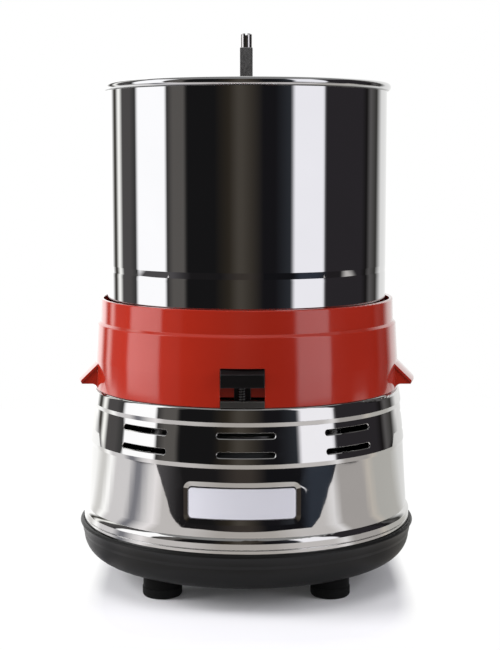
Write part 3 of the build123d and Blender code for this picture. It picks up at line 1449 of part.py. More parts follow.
with BuildPart() as drum_screws:
    with BuildSketch(Plane.XY.offset(web_z - small_head)):
        with PolarLocations(drum_screw_ring, drum_screw_count):
            Circle(small_head_radius)
    extrude(amount=small_head)
    with BuildSketch(Plane.XY.offset(web_z)):
        with PolarLocations(drum_screw_ring, drum_screw_count):
            Circle(small_screw_radius)
    extrude(amount=drum_base_web + drum_floor + small_screw - seat_gap)
    with BuildSketch(Plane.XY.offset(web_z - small_head)):
        with PolarLocations(drum_screw_ring, drum_screw_count):
            Rectangle(recess_length, recess_width)
            Rectangle(recess_width, recess_length)
    extrude(amount=recess_depth, mode=Mode.SUBTRACT)
keep(drum_screws, "drum_screws")

# Roller holder: sleeve over the tube, a head with the square hole and a boss for each axle
holder_bore = tube_radius + holder_bore_gap
with BuildPart() as roller_holder:
    with BuildSketch(Plane.XY.offset(holder_foot_z)):
        Circle(holder_radius)
    extrude(amount=holder_cap_z - holder_foot_z)
    with BuildSketch(Plane.XY.offset(holder_cap_z)):
        Circle(holder_radius)
    with BuildSketch(Plane.XY.offset(holder_top_z)):
        Circle(holder_head_radius)
    loft()
    with BuildSketch(Plane.YZ):
        with Locations((0, roller_z)):
            Circle(holder_boss_radius)
    extrude(amount=holder_boss_end, both=True)
    with BuildSketch(Plane.XY.offset(holder_foot_z)):
        Circle(holder_bore)
    extrude(amount=holder_cap_z - holder_foot_z, mode=Mode.SUBTRACT)
    with BuildSketch(Plane.XY.offset(holder_cap_z)):
        Rectangle(shaft_square + 2 * slide_gap, shaft_square + 2 * slide_gap)
    extrude(amount=holder_cap, mode=Mode.SUBTRACT)
    for side in (1, -1):
        with BuildSketch(Plane.YZ.offset(side * (holder_boss_end - axle_root))):
            with Locations((0, roller_z)):
                Circle(axle_radius + seat_gap)
        extrude(amount=side * (axle_root + holder_radius), mode=Mode.SUBTRACT)
    with BuildSketch(Plane.XY.offset(holder_top_z - scraper_drop - scraper_thickness)):
        with Locations((0, scraper_root)):
            Rectangle(scraper_width + 2 * seat_gap, 2 * holder_radius, align=(Align.CENTER, Align.MIN))
    extrude(amount=scraper_drop + scraper_thickness + holder_cap, mode=Mode.SUBTRACT)
keep(roller_holder, "roller_holder")

# Axles, washers and nuts
recess_x = roller_outer_end - roller_recess
washer_x = recess_x + slide_gap
nut_x = washer_x + axle_washer
axle_tip = nut_x + axle_nut + axle_end
with BuildPart() as roller_axles:
    for side in (1, -1):
        with BuildSketch(Plane.YZ.offset(side * (holder_boss_end - axle_root + seat_gap))):
            with Locations((0, roller_z)):
                Circle(axle_radius)
        extrude(amount=side * (axle_tip - holder_boss_end + axle_root - seat_gap))
keep(roller_axles, "roller_axles")

with BuildPart() as axle_nuts:
    for side in (1, -1):
        with BuildSketch(Plane.YZ.offset(side * washer_x)):
            with Locations((0, roller_z)):
                Circle(axle_washer_radius)
                Circle(axle_radius + seat_gap, mode=Mode.SUBTRACT)
        extrude(amount=side * axle_washer)
        with BuildSketch(Plane.YZ.offset(side * nut_x)):
            with Locations((0, roller_z)):
                RegularPolygon(axle_nut_width / 2, 6, major_radius=False)
                Circle(axle_radius + seat_gap, mode=Mode.SUBTRACT)
        extrude(amount=side * axle_nut)
keep(axle_nuts, "axle_nuts")

# Granite rollers on their bushes
for side, hand in ((1, "right"), (-1, "left")):
    with BuildPart() as roller:
        with BuildSketch(Plane.YZ.offset(side * roller_inner_end)):
            with Locations((0, roller_z)):
                Circle(roller_radius)
                Circle(bush_radius + seat_gap, mode=Mode.SUBTRACT)
        extrude(amount=side * roller_length)
        outer_edges = roller.edges().filter_by(GeomType.CIRCLE).sort_by(SortBy.RADIUS)[-2:]
        chamfer(outer_edges, roller_edge)
        with BuildSketch(Plane.YZ.offset(side * recess_x)):
            with Locations((0, roller_z)):
                Circle(roller_recess_radius)
        extrude(amount=side * roller_recess, mode=Mode.SUBTRACT)
    keep(roller, f"roller_{hand}")
    with BuildPart() as roller_bush:
        with BuildSketch(Plane.YZ.offset(side * (roller_inner_end - slide_gap))):
            with Locations((0, roller_z)):
                Circle(bush_radius)
                Circle(axle_radius + turn_gap, mode=Mode.SUBTRACT)
        extrude(amount=side * (recess_x - roller_inner_end + slide_gap))
    keep(roller_bush, f"roller_bush_{hand}")

# Scraper: arm across the holder's head, blade down the drum's wall
arm_top_z = holder_top_z - scraper_drop
arm_z = arm_top_z - scraper_thickness
blade_foot_z = stone_top_z + blade_foot_gap
blade_screw_y = scraper_end - scraper_thickness
with BuildPart() as scraper_arm:
    with BuildSketch(Plane.XY.offset(arm_z)):
        with Locations((0, scraper_root + seat_gap)):
            Rectangle(scraper_width, scraper_end - scraper_root - seat_gap, align=(Align.CENTER, Align.MIN))
    extrude(amount=scraper_thickness)
    fillet(scraper_arm.edges().filter_by(Axis.Z).sort_by(Axis.Y)[-2:], scraper_thickness / 3)
    with BuildSketch(Plane.XY.offset(arm_z)):
        with Locations((-scraper_width / 4, blade_screw_y), (scraper_width / 4, blade_screw_y)):
            Circle(small_screw_radius + seat_gap)
    extrude(amount=scraper_thickness, mode=Mode.SUBTRACT)
keep(scraper_arm, "scraper_arm")

with BuildPart() as scraper_blade:
    with BuildSketch(Plane.XY.offset(blade_foot_z)):
        Circle(blade_outer)
        Circle(blade_outer - blade_thickness, mode=Mode.SUBTRACT)
        with Locations((0, blade_outer)):
            Rectangle(blade_width, blade_outer, mode=Mode.INTERSECT)
    extrude(amount=arm_z - blade_foot_z)
    with BuildSketch(Plane.XY.offset(arm_z - blade_thickness)):
        with Locations((0, blade_outer - blade_thickness / 2)):
            Rectangle(scraper_width, blade_outer - scraper_end + 2 * scraper_thickness,
                      align=(Align.CENTER, Align.MAX))
        Circle(blade_outer - blade_thickness / 2, mode=Mode.INTERSECT)
    extrude(amount=blade_thickness)
    with BuildSketch(Plane.XY.offset(arm_z - blade_thickness)):
        with Locations((-scraper_width / 4, blade_screw_y), (scraper_width / 4, blade_screw_y)):
            Circle(small_screw_radius + seat_gap)
    extrude(amount=blade_thickness, mode=Mode.SUBTRACT)
keep(scraper_blade, "scraper_blade")

with BuildPart() as scraper_screws:
    with BuildSketch(Plane.XY.offset(arm_top_z)):
        with Locations((-scraper_width / 4, blade_screw_y), (scraper_width / 4, blade_screw_y)):
            Circle(small_head_radius)
    extrude(amount=small_head)
    with BuildSketch(Plane.XY.offset(arm_top_z)):
        with Locations((-scraper_width / 4, blade_screw_y), (scraper_width / 4, blade_screw_y)):
            Circle(small_screw_radius)
    extrude(amount=-scraper_thickness - blade_thickness)
    with BuildSketch(Plane.XY.offset(arm_top_z + small_head)):
        with Locations((-scraper_width / 4, blade_screw_y), (scraper_width / 4, blade_screw_y)):
            Rectangle(recess_length, recess_width)
            Rectangle(recess_width, recess_length)
    extrude(amount=-recess_depth, mode=Mode.SUBTRACT)
keep(scraper_screws, "scraper_screws")
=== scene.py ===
"""Looks of a tabletop stone refiner: finishes, wound and moulded details, studio and camera."""
import logging
import math
from dataclasses import dataclass
from enum import Enum
from typing import ClassVar

import bmesh
import bpy
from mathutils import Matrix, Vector


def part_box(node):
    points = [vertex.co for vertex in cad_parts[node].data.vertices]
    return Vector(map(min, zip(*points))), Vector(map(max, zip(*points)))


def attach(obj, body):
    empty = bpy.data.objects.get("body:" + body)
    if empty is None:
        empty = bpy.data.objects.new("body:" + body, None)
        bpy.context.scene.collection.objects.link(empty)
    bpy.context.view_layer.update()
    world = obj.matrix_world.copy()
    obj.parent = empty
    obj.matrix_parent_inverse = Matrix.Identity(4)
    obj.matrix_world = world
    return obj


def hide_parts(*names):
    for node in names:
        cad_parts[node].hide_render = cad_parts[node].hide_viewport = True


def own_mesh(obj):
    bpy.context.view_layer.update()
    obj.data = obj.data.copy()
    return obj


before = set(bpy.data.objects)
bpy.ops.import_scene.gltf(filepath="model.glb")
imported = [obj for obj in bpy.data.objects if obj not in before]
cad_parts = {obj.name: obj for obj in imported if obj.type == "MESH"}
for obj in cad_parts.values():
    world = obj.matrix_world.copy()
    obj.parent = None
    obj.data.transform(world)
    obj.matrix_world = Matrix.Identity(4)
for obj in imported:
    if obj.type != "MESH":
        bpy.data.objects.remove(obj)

Triple = tuple[float, float, float]
Colour = tuple[float, float, float]
Span = tuple[float, float]
Node = bpy.types.Node
Socket = bpy.types.NodeSocket
Sockets = dict[str, Socket]
Results = bpy.types.NodeOutputs
LOG = logging.getLogger("refiner")
HALF_TURN = 180.0


class Ray(Enum):
    """Kinds of ray that a stage object can be hidden from."""

    CAMERA = "visible_camera"
    DIFFUSE = "visible_diffuse"
    GLOSSY = "visible_glossy"
    SHADOW = "visible_shadow"
    SCATTER = "visible_volume_scatter"


class Mixture(Enum):
    """What a mix node mixes: its data type, then the numbers of its two inputs and of its result."""

    COLOUR = ("RGBA", 6, 7, 2)
    DIRECTION = ("VECTOR", 4, 5, 1)


class Graph:
    """Short way to add and join the nodes of one shader tree."""

    gives_number: ClassVar[tuple[str, ...]] = ("DOT_PRODUCT", "LENGTH")
    level: ClassVar[Triple] = (1.0, 1.0, 0.0)

    def __init__(self, tree: bpy.types.NodeTree) -> None:
        """Keep the node tree of a material, a world or a group."""
        self.tree = tree

    def add(self, kind: str, inputs: dict[int | str, object] | None = None, **settings: object) -> Node:
        """Add one node.

        Args:
            kind: Blender's name of the node type.
            inputs: What goes into its inputs, by their numbers or names.
            settings: Properties to set on the node.

        Returns:
            The new node.
        """
        node = self.tree.nodes.new(kind)
        for name, value in settings.items():
            setattr(node, name, value)
        for key, value in (inputs or {}).items():
            self.feed(node.inputs[key], value)
        return node

    def feed(self, socket: Socket, value: object) -> None:
        """Join a socket to another, or set it to a plain value.

        Args:
            socket: Input socket of a node.
            value: An output socket, a number, a colour or a vector.
        """
        if isinstance(value, Socket):
            self.tree.links.new(value, socket)
        else:
            socket.default_value = value

    def math(self, operation: str, *values: object) -> Socket:
        """Number worked out from numbers by an operation, such as MULTIPLY."""
        return self.add("ShaderNodeMath", dict(enumerate(values)), operation=operation).outputs[0]

    def vector(self, operation: str, *values: object) -> Socket:
        """Vector, or a number, worked out from vectors by an operation, such as NORMALIZE."""
        node = self.add("ShaderNodeVectorMath", dict(enumerate(values)), operation=operation)
        return node.outputs["Value" if operation in self.gives_number else "Vector"]

    def spread(self, value: Socket, low: float = 0.0, high: float = 1.0, start: object = 0.0,
               end: object = 1.0) -> Socket:
        """Map the range from low to high to the one from start to end, held at both ends."""
        inputs = dict(enumerate((value, low, high, start, end)))
        return self.add("ShaderNodeMapRange", inputs, clamp=True).outputs[0]

    def noise(self, place: Socket, scale: object, detail: float) -> Socket:
        """Soft noise from 0 to 1, by the lumps in a metre and the number of finer layers."""
        return self.add("ShaderNodeTexNoise", {"Vector": place, "Scale": scale, "Detail": detail}).outputs[0]

    def mix(self, mixture: Mixture, share: Socket, first: object, second: object) -> Socket:
        """Mix two colours or directions by the share of the second."""
        kind, one, two, result = mixture.value
        return self.add("ShaderNodeMix", {0: share, one: first, two: second}, data_type=kind).outputs[result]

    def blend(self, share: Socket, *pair: object) -> Socket:
        """Mix two colours, given as sockets or as three numbers."""
        first, second = (item if isinstance(item, Socket) else (*item, 1.0) for item in pair)
        return self.mix(Mixture.COLOUR, share, first, second)

    def turn(self, direction: Socket) -> Socket:
        """Turn a direction of the object's own axes into the scene's."""
        return self.add("ShaderNodeVectorTransform", {0: direction}, vector_type="NORMAL",
                        convert_from="OBJECT", convert_to="WORLD").outputs[0]

    def bump(self, height: Socket, depth: float, base: Socket) -> Socket:
        """Lay a relief with heights from 0 to 1 and a depth in metres on a normal."""
        return self.add("ShaderNodeBump", {"Height": height, "Distance": depth, "Normal": base}).outputs[0]

    def point(self) -> Socket:
        """Point of the surface, in the object's own axes."""
        return self.add("ShaderNodeTexCoord").outputs["Object"]

    def normal(self) -> Socket:
        """Direction of the surface, as the mesh gives it."""
        return self.add("ShaderNodeNewGeometry").outputs["Normal"]

    def parts(self, vector: Socket) -> Results:
        """Numbers of a vector along X, Y and Z."""
        return self.add("ShaderNodeSeparateXYZ", {0: vector}).outputs

    def upright(self, height: Socket) -> Socket:
        """Vector along Z of a given length."""
        return self.add("ShaderNodeCombineXYZ", {"Z": height}).outputs[0]

    def outward(self, place: Socket) -> Socket:
        """Level direction from the machine's axis to a point."""
        return self.vector("NORMALIZE", self.vector("MULTIPLY", place, self.level))

    def share(self, value: Socket, start: Socket, whole: Socket) -> Socket:
        """How far a value is past the start, as a share of the whole."""
        return self.math("DIVIDE", self.math("SUBTRACT", value, start), whole)


class Effect:
    """Base of the shared effects: one shader node group with named sockets."""

    name: str = "effect"
    numbers: tuple[str, ...] = ()
    results: tuple[tuple[str, str], ...] = ()

    def fill(self, graph: Graph, inputs: Sockets, outputs: Sockets) -> None:
        """Draw the group's inside, from its number inputs to its results."""
        raise NotImplementedError

    def group(self) -> bpy.types.NodeTree:
        """Make the group, or find it if it is there.

        Returns:
            The group's tree.
        """
        found = bpy.data.node_groups.get(self.name)
        if found:
            return found
        tree = bpy.data.node_groups.new(self.name, "ShaderNodeTree")
        for name in self.numbers:
            tree.interface.new_socket(name, in_out="INPUT", socket_type="NodeSocketFloat")
        for name, kind in self.results:
            tree.interface.new_socket(name, in_out="OUTPUT", socket_type=kind)
        graph = Graph(tree)
        entry = graph.add("NodeGroupInput")
        leave = graph.add("NodeGroupOutput")
        ins = {name: entry.outputs[name] for name in self.numbers}
        outs = {name: leave.inputs[name] for name, _ in self.results}
        self.fill(graph, ins, outs)
        return tree

    def use(self, graph: Graph, **numbers: float) -> Results:
        """Put the group into a material, with these numbers, and give its results."""
        return graph.add("ShaderNodeGroup", numbers, node_tree=self.group()).outputs


class Grain(Effect):
    """Fine relief with slow patches of tone, laid out along the part's own axes."""

    name = "grain"
    numbers = ("Size", "X", "Y", "Z")
    results = (("Patch", "NodeSocketFloat"), ("Fine", "NodeSocketFloat"))
    patch_scale: float = 22.0
    patch_detail: float = 4.0
    fine_detail: float = 2.0

    def fill(self, graph: Graph, inputs: Sockets, outputs: Sockets) -> None:
        """Draw two layers of noise, one slow and one fine.

        Args:
            graph: The group's tree.
            inputs: Size of the fine grain, and its squeeze along each axis.
            outputs: Where the two layers go.
        """
        place = graph.point()
        squeeze = graph.add("ShaderNodeCombineXYZ", {name: inputs[name] for name in "XYZ"}).outputs[0]
        drawn = graph.vector("MULTIPLY", place, squeeze)
        per_metre = graph.math("DIVIDE", 1.0, inputs["Size"])
        graph.feed(outputs["Patch"], graph.noise(place, self.patch_scale, self.patch_detail))
        graph.feed(outputs["Fine"], graph.noise(drawn, per_metre, self.fine_detail))


class SoftEdge(Effect):
    """Rounded normals along sharp edges, and a mask of those edges."""

    name = "soft_edge"
    numbers = ("Radius",)
    results = (("Normal", "NodeSocketVector"), ("Edge", "NodeSocketFloat"))
    samples: int = 4
    sharpness: Span = (0.985, 0.9)

    def fill(self, graph: Graph, inputs: Sockets, outputs: Sockets) -> None:
        """Compare the rounded normal with the true one.

        Args:
            graph: The group's tree.
            inputs: Radius of the rounding.
            outputs: Where the normal and the mask go.
        """
        rounded = graph.add("ShaderNodeBevel", {"Radius": inputs["Radius"]}, samples=self.samples).outputs[0]
        likeness = graph.vector("DOT_PRODUCT", rounded, graph.normal())
        graph.feed(outputs["Normal"], rounded)
        graph.feed(outputs["Edge"], graph.spread(likeness, *self.sharpness))


class Speckle(Effect):
    """Mineral grains of cut granite, as a light mask, a dark mask and a height."""

    name = "speckle"
    numbers = ("Size",)
    results = (("Light", "NodeSocketFloat"), ("Dark", "NodeSocketFloat"), ("Height", "NodeSocketFloat"))
    factors: Span = (1.0, 0.55)
    light_share: Span = (0.62, 0.9)
    dark_share: Span = (0.6, 0.85)

    def fill(self, graph: Graph, inputs: Sockets, outputs: Sockets) -> None:
        """Read two sizes of cells.

        Args:
            graph: The group's tree.
            inputs: Size of the grains.
            outputs: Where the masks and the height go.
        """
        place = graph.point()
        per_metre = graph.math("DIVIDE", 1.0, inputs["Size"])
        layers = []
        for factor in self.factors:
            scale = graph.math("MULTIPLY", per_metre, factor)
            cells = graph.add("ShaderNodeTexVoronoi", {"Vector": place, "Scale": scale}).outputs
            tones = graph.add("ShaderNodeSeparateColor", {0: cells["Color"]}).outputs
            layers.append((tones["Red"], tones["Green"], cells["Distance"]))
        (light, _, coarse), (_, dark, fine) = layers
        graph.feed(outputs["Light"], graph.spread(light, *self.light_share))
        graph.feed(outputs["Dark"], graph.spread(dark, *self.dark_share))
        graph.feed(outputs["Height"], graph.math("ADD", coarse, fine))


class InnerSide(Effect):
    """Mask of the surfaces that face the machine's axis."""

    name = "inner_side"
    results = (("Mask", "NodeSocketFloat"),)
    facing: Span = (-0.3, -0.6)

    def fill(self, graph: Graph, inputs: Sockets, outputs: Sockets) -> None:
        """Compare the surface's direction with the way outward.

        Args:
            graph: The group's tree.
            inputs: Nothing.
            outputs: Where the mask goes.
        """
        direction = graph.add("ShaderNodeTexCoord").outputs["Normal"]
        likeness = graph.vector("DOT_PRODUCT", graph.outward(graph.point()), direction)
        graph.feed(outputs["Mask"], graph.spread(likeness, *self.facing))


class RoundRim(Effect):
    """True normal of a rolled rim, which the mesh gives only roughly, and a mask of its underside for
    painted shade.
    """

    name = "round_rim"
    numbers = ("Ring", "Height", "Bead")
    results = (("Normal", "NodeSocketVector"), ("Under", "NodeSocketFloat"))
    skin: Span = (1.03, 1.06)
    underside: Span = (-0.92, -0.72)

    def fill(self, graph: Graph, inputs: Sockets, outputs: Sockets) -> None:
        """Point away from the middle of the rim's bead.

        Args:
            graph: The group's tree.
            inputs: Radius and height of the bead's middle, and radius of the bead.
            outputs: Where the normal and the underside's mask go.
        """
        place = graph.point()
        level = graph.upright(inputs["Height"])
        middle = graph.vector("MULTIPLY_ADD", graph.outward(place), inputs["Ring"], level)
        away = graph.vector("SUBTRACT", place, middle)
        reach = graph.math("DIVIDE", graph.vector("LENGTH", away), inputs["Bead"])
        on_bead = graph.spread(reach, *self.skin, 1.0, 0.0)
        drop = graph.math("DIVIDE", graph.parts(away)["Z"], inputs["Bead"])
        below = graph.spread(drop, *self.underside, 1.0, 0.0)
        graph.feed(outputs["Under"], graph.math("MULTIPLY", on_bead, below))
        rounded = graph.mix(Mixture.DIRECTION, on_bead, graph.normal(), graph.turn(away))
        graph.feed(outputs["Normal"], rounded)


class Crease(Effect):
    """Direction and mask of the upper side of a crease pressed round a drum."""

    name = "crease"
    numbers = ("Foot", "Top", "Soft", "Slope")
    results = (("Normal", "NodeSocketVector"), ("Mask", "NodeSocketFloat"))

    def fill(self, graph: Graph, inputs: Sockets, outputs: Sockets) -> None:
        """Lean outward and down between two heights.

        Args:
            graph: The group's tree.
            inputs: Heights of the side's foot and top, the height over which it fades, and its slope.
            outputs: Where the direction and the mask go.
        """
        place = graph.point()
        leaning = graph.vector("SUBTRACT", graph.outward(place), graph.upright(inputs["Slope"]))
        graph.feed(outputs["Normal"], graph.turn(leaning))
        height = graph.parts(place)["Z"]
        above = graph.share(height, inputs["Foot"], inputs["Soft"])
        below = graph.share(inputs["Top"], height, inputs["Soft"])
        within = graph.spread(graph.math("MINIMUM", above, below))
        inner = InnerSide().use(graph)["Mask"]
        graph.feed(outputs["Mask"], graph.spread(inner, start=within, end=0.0))


class Above(Effect):
    """Mask of what lies above a level, which grows over a soft height."""

    name = "above"
    numbers = ("Level", "Soft")
    results = (("Mask", "NodeSocketFloat"),)

    def fill(self, graph: Graph, inputs: Sockets, outputs: Sockets) -> None:
        """Compare the height with the level."""
        rise = graph.share(graph.parts(graph.point())["Z"], inputs["Level"], inputs["Soft"])
        graph.feed(outputs["Mask"], graph.spread(rise))


@dataclass(frozen=True)
class Finish:
    """A surface: two tones, two roughnesses, a grain and softened edges with a painted highlight along them.
    """

    fine_share: ClassVar[float] = 0.4
    wear: ClassVar[Span] = (0.4, 1.0)
    name: str
    dark: Colour
    light: Colour
    rough: Span
    grain: float = 0.0004
    depth: float = 0.00002
    stretch: Triple = (1.0, 1.0, 1.0)
    metallic: float = 0.0
    coat: float = 0.0
    coat_rough: float = 0.03
    specular: float = 0.5
    edge_radius: float = 0.0003
    # Tone blended in along sharp edges: a painted highlight.
    painted_edge_highlight: Colour | None = None

    def tone(self, graph: Graph, grain: Results) -> Socket:
        """Colour before the edges."""
        return graph.blend(grain["Patch"], self.dark, self.light)

    def height(self, graph: Graph, grain: Results) -> Socket:
        """Relief of the surface."""
        return grain["Fine"]

    def dullness(self, graph: Graph, grain: Results) -> Socket:
        """Roughness, in slow patches with a little fine grain."""
        worn = graph.math("MULTIPLY_ADD", grain["Fine"], self.fine_share, grain["Patch"])
        return graph.spread(worn, *self.wear, *self.rough)

    def metal(self, graph: Graph) -> object:
        """Share of metal, as a number or a socket of the graph."""
        return self.metallic

    def varnish(self, graph: Graph) -> object:
        """Share of clear coat, as a number or a socket of the graph."""
        return self.coat

    def relief(self, graph: Graph, grain: Results, base: Socket) -> Socket:
        """Lay the fine relief on the normal with softened edges."""
        return graph.bump(self.height(graph, grain), self.depth, base)

    def material(self) -> bpy.types.Material:
        """Make the material, or find it if it is there.

        Returns:
            The material.
        """
        label = f"finish_{self.name}"
        found = bpy.data.materials.get(label)
        if found:
            return found
        made = bpy.data.materials.new(label)
        made.use_nodes = True
        graph = Graph(made.node_tree)
        shader = made.node_tree.nodes["Principled BSDF"]
        x, y, z = self.stretch
        grain = Grain().use(graph, Size=self.grain, X=x, Y=y, Z=z)
        edge = SoftEdge().use(graph, Radius=self.edge_radius)
        colour = self.tone(graph, grain)
        # Blend the edges towards a lighter tone where the fine grain allows: a painted highlight.
        if self.painted_edge_highlight:
            share = graph.math("MULTIPLY", edge["Edge"], grain["Fine"])
            colour = graph.blend(share, colour, self.painted_edge_highlight)
        graph.feed(shader.inputs["Base Color"], colour)
        graph.feed(shader.inputs["Roughness"], self.dullness(graph, grain))
        graph.feed(shader.inputs["Normal"], self.relief(graph, grain, edge["Normal"]))
        graph.feed(shader.inputs["Metallic"], self.metal(graph))
        graph.feed(shader.inputs["Coat Weight"], self.varnish(graph))
        shader.inputs["Coat Roughness"].default_value = self.coat_rough
        shader.inputs["Specular IOR Level"].default_value = self.specular
        return made


@dataclass(frozen=True)
class Granite(Finish):
    """Cut granite with light and dark mineral grains."""

    mineral: float = 0.0022
    stand_out: float = 0.5
    white: Colour = (0.5, 0.5, 0.5)
    black: Colour = (0.02, 0.02, 0.022)

    def tone(self, graph: Graph, grain: Results) -> Socket:
        """Lay light and dark minerals on the ground tone.

        Args:
            graph: The material's tree.
            grain: The grain's results.

        Returns:
            The colour's socket.
        """
        speckle = Speckle().use(graph, Size=self.mineral)
        lighter = graph.blend(speckle["Light"], super().tone(graph, grain), self.white)
        return graph.blend(speckle["Dark"], lighter, self.black)

    def height(self, graph: Graph, grain: Results) -> Socket:
        """Let the mineral grains stand out a little."""
        speckle = Speckle().use(graph, Size=self.mineral)
        return graph.math("MULTIPLY_ADD", speckle["Height"], self.stand_out, grain["Fine"])


@dataclass(frozen=True)
class Layered(Finish):
    """Stacked sheets or wound wire, as even lines along Z."""

    # Length in metres of the wave texture's own wave at a scale of 1.
    whole_wave: ClassVar[float] = 0.314
    pitch: float = 0.0006
    wobble: float = 0.4

    def height(self, graph: Graph, grain: Results) -> Socket:
        """Draw even ridges across the height."""
        inputs = {"Vector": graph.point(), "Scale": self.whole_wave / self.pitch, "Distortion": self.wobble}
        return graph.add("ShaderNodeTexWave", inputs, bands_direction="Z").outputs["Fac"]


@dataclass(frozen=True)
class Sheet(Finish):
    """Drawn sheet steel, polished outside and duller inside, with slow waves from the drawing."""

    patches: ClassVar[Span] = (0.3, 0.7)
    inside: Colour = (0.4, 0.4, 0.4)
    inside_rough: float = 0.3
    wave: float = 0.00002

    def tone(self, graph: Graph, grain: Results) -> Socket:
        """Darken the side that faces the axis."""
        # On the skirt the inner tone is near black: painted shade inside the housing. On the drum it is the
        # duller steel's own tone.
        return graph.blend(InnerSide().use(graph)["Mask"], super().tone(graph, grain), self.inside)

    def dullness(self, graph: Graph, grain: Results) -> Socket:
        """Roughen the side that faces the axis."""
        outer = graph.spread(grain["Patch"], *self.patches, *self.rough)
        return graph.spread(InnerSide().use(graph)["Mask"], start=outer, end=self.inside_rough)

    def relief(self, graph: Graph, grain: Results, base: Socket) -> Socket:
        """Lay the fine relief on the slow waves."""
        return super().relief(graph, grain, graph.bump(grain["Patch"], self.wave, base))


@dataclass(frozen=True)
class Rimmed(Sheet):
    """Drawn sheet with a rolled rim, painted shade under it, and a pressed crease."""

    ring: float = 0.1
    rim_height: float = 0.35215
    bead: float = 0.00275
    # Tone of the painted shade under the rim.
    shade: Colour = (0.03, 0.03, 0.03)
    crease_foot: float = 0.2229
    crease_top: float = 0.2275
    crease_soft: float = 0.0004
    crease_slope: float = 0.107

    def rim(self, graph: Graph) -> Results:
        """The rim's effect, with this drum's sizes."""
        return RoundRim().use(graph, Ring=self.ring, Height=self.rim_height, Bead=self.bead)

    def tone(self, graph: Graph, grain: Results) -> Socket:
        """Paint shade into the crevice under the rim."""
        return graph.blend(self.rim(graph)["Under"], super().tone(graph, grain), self.shade)

    def relief(self, graph: Graph, grain: Results, base: Socket) -> Socket:
        """Round the rim and press the crease before the waves and the fine relief are laid on.

        Args:
            graph: The material's tree.
            grain: The grain's results.
            base: Normal with softened edges, which a smooth sheet doesn't need; not used.

        Returns:
            The finished normal's socket.
        """
        crease = Crease().use(graph, Foot=self.crease_foot, Top=self.crease_top, Soft=self.crease_soft,
                              Slope=self.crease_slope)
        rounded = self.rim(graph)["Normal"]
        pressed = graph.mix(Mixture.DIRECTION, crease["Mask"], rounded, crease["Normal"])
        return super().relief(graph, grain, pressed)


@dataclass(frozen=True)
class Bar(Finish):
    """Dull rolled bar with a bright machined end above a level."""

    level: float = 0.3802
    bright: Colour = (0.62, 0.6, 0.6)
    bright_rough: float = 0.1
    soft: float = 0.0001

    def machined(self, graph: Graph) -> Socket:
        """Mask of the machined end."""
        return Above().use(graph, Level=self.level, Soft=self.soft)["Mask"]

    def tone(self, graph: Graph, grain: Results) -> Socket:
        """Brighten the machined end."""
        rolled = graph.blend(grain["Fine"], self.dark, self.light)
        return graph.blend(self.machined(graph), rolled, self.bright)

    def dullness(self, graph: Graph, grain: Results) -> Socket:
        """Smooth the machined end."""
        rolled = super().dullness(graph, grain)
        return graph.spread(self.machined(graph), start=rolled, end=self.bright_rough)

    def metal(self, graph: Graph) -> Socket:
        """Bare metal on the machined end."""
        return graph.spread(self.machined(graph), start=self.metallic)


@dataclass(frozen=True)
class Moulded(Finish):
    """Moulded plastic with smooth sides that turn dull towards the foot."""

    foot: float = 0.01
    fade: float = 0.02

    def varnish(self, graph: Graph) -> Socket:
        """Take the smooth skin off the foot."""
        sides = Above().use(graph, Level=self.foot, Soft=self.fade)["Mask"]
        return graph.spread(sides, end=self.coat)


def grey(level: float) -> Colour:
    """A tone without colour."""
    return (level, level, level)


POLISHED = Finish("polished_steel", grey(0.62), grey(0.68), (0.01, 0.03), grain=0.0016, depth=0.0000004,
                  stretch=(0.25, 0.25, 5.0), metallic=1.0, edge_radius=0.0002)
DRUM_STEEL = Rimmed("drum_steel", (0.64, 0.64, 0.645), (0.68, 0.68, 0.685), (0.008, 0.02), grain=0.0016,
                    depth=0.0000003, stretch=(0.25, 0.25, 5.0), metallic=1.0, edge_radius=0.0002,
                    inside=grey(0.5), inside_rough=0.22, wave=0.000008)
# Its near-black inner tone is painted shade inside the housing.
SKIRT_STEEL = Sheet("skirt_steel", (0.64, 0.637, 0.63), (0.7, 0.695, 0.687), (0.015, 0.035), grain=0.0016,
                    depth=0.0000004, stretch=(0.25, 0.25, 5.0), metallic=1.0, inside=grey(0.03),
                    inside_rough=0.5, wave=0.00003)
TURNED = Finish("turned_steel", (0.42, 0.42, 0.43), (0.6, 0.6, 0.61), (0.2, 0.34), grain=0.0009,
                depth=0.000006, stretch=(0.3, 0.3, 6.0), metallic=1.0)
SHAFT = Bar("shaft_steel", (0.03, 0.029, 0.029), (0.15, 0.147, 0.147), (0.4, 0.6), grain=0.0016,
            stretch=(1.0, 1.0, 0.5), metallic=0.3, painted_edge_highlight=grey(0.4))
RED = Finish("red_plastic", (0.31, 0.0165, 0.007), (0.355, 0.021, 0.0098), (0.09, 0.15), grain=0.0012,
             depth=0.000003, coat=0.8, edge_radius=0.0006, painted_edge_highlight=(0.42, 0.06, 0.04))
PAN = Moulded("black_pan", grey(0.0045), grey(0.0085), (0.28, 0.4), grain=0.0005, depth=0.00006, coat=0.42,
              coat_rough=0.4, specular=0.02, painted_edge_highlight=grey(0.06), foot=0.016, fade=0.016)
BLACK = Finish("black_plastic", (0.0025, 0.0022, 0.0024), (0.005, 0.0045, 0.005), (0.35, 0.5), depth=0.00001,
               specular=0.2, painted_edge_highlight=grey(0.05))
LOCK = Finish("lock_plastic", (0.0025, 0.0022, 0.0024), (0.005, 0.0045, 0.005), (0.3, 0.45), depth=0.00001,
              specular=0.25, edge_radius=0.0005, painted_edge_highlight=(0.16, 0.15, 0.16))
LEDGE = Finish("grey_plastic", (0.02, 0.019, 0.018), (0.034, 0.032, 0.03), (0.35, 0.5), depth=0.00001,
               specular=0.35, edge_radius=0.0005, painted_edge_highlight=(0.25, 0.24, 0.23))
RUBBER = Finish("black_rubber", grey(0.0025), grey(0.006), (0.6, 0.85), grain=0.0006, depth=0.00005,
                specular=0.15)
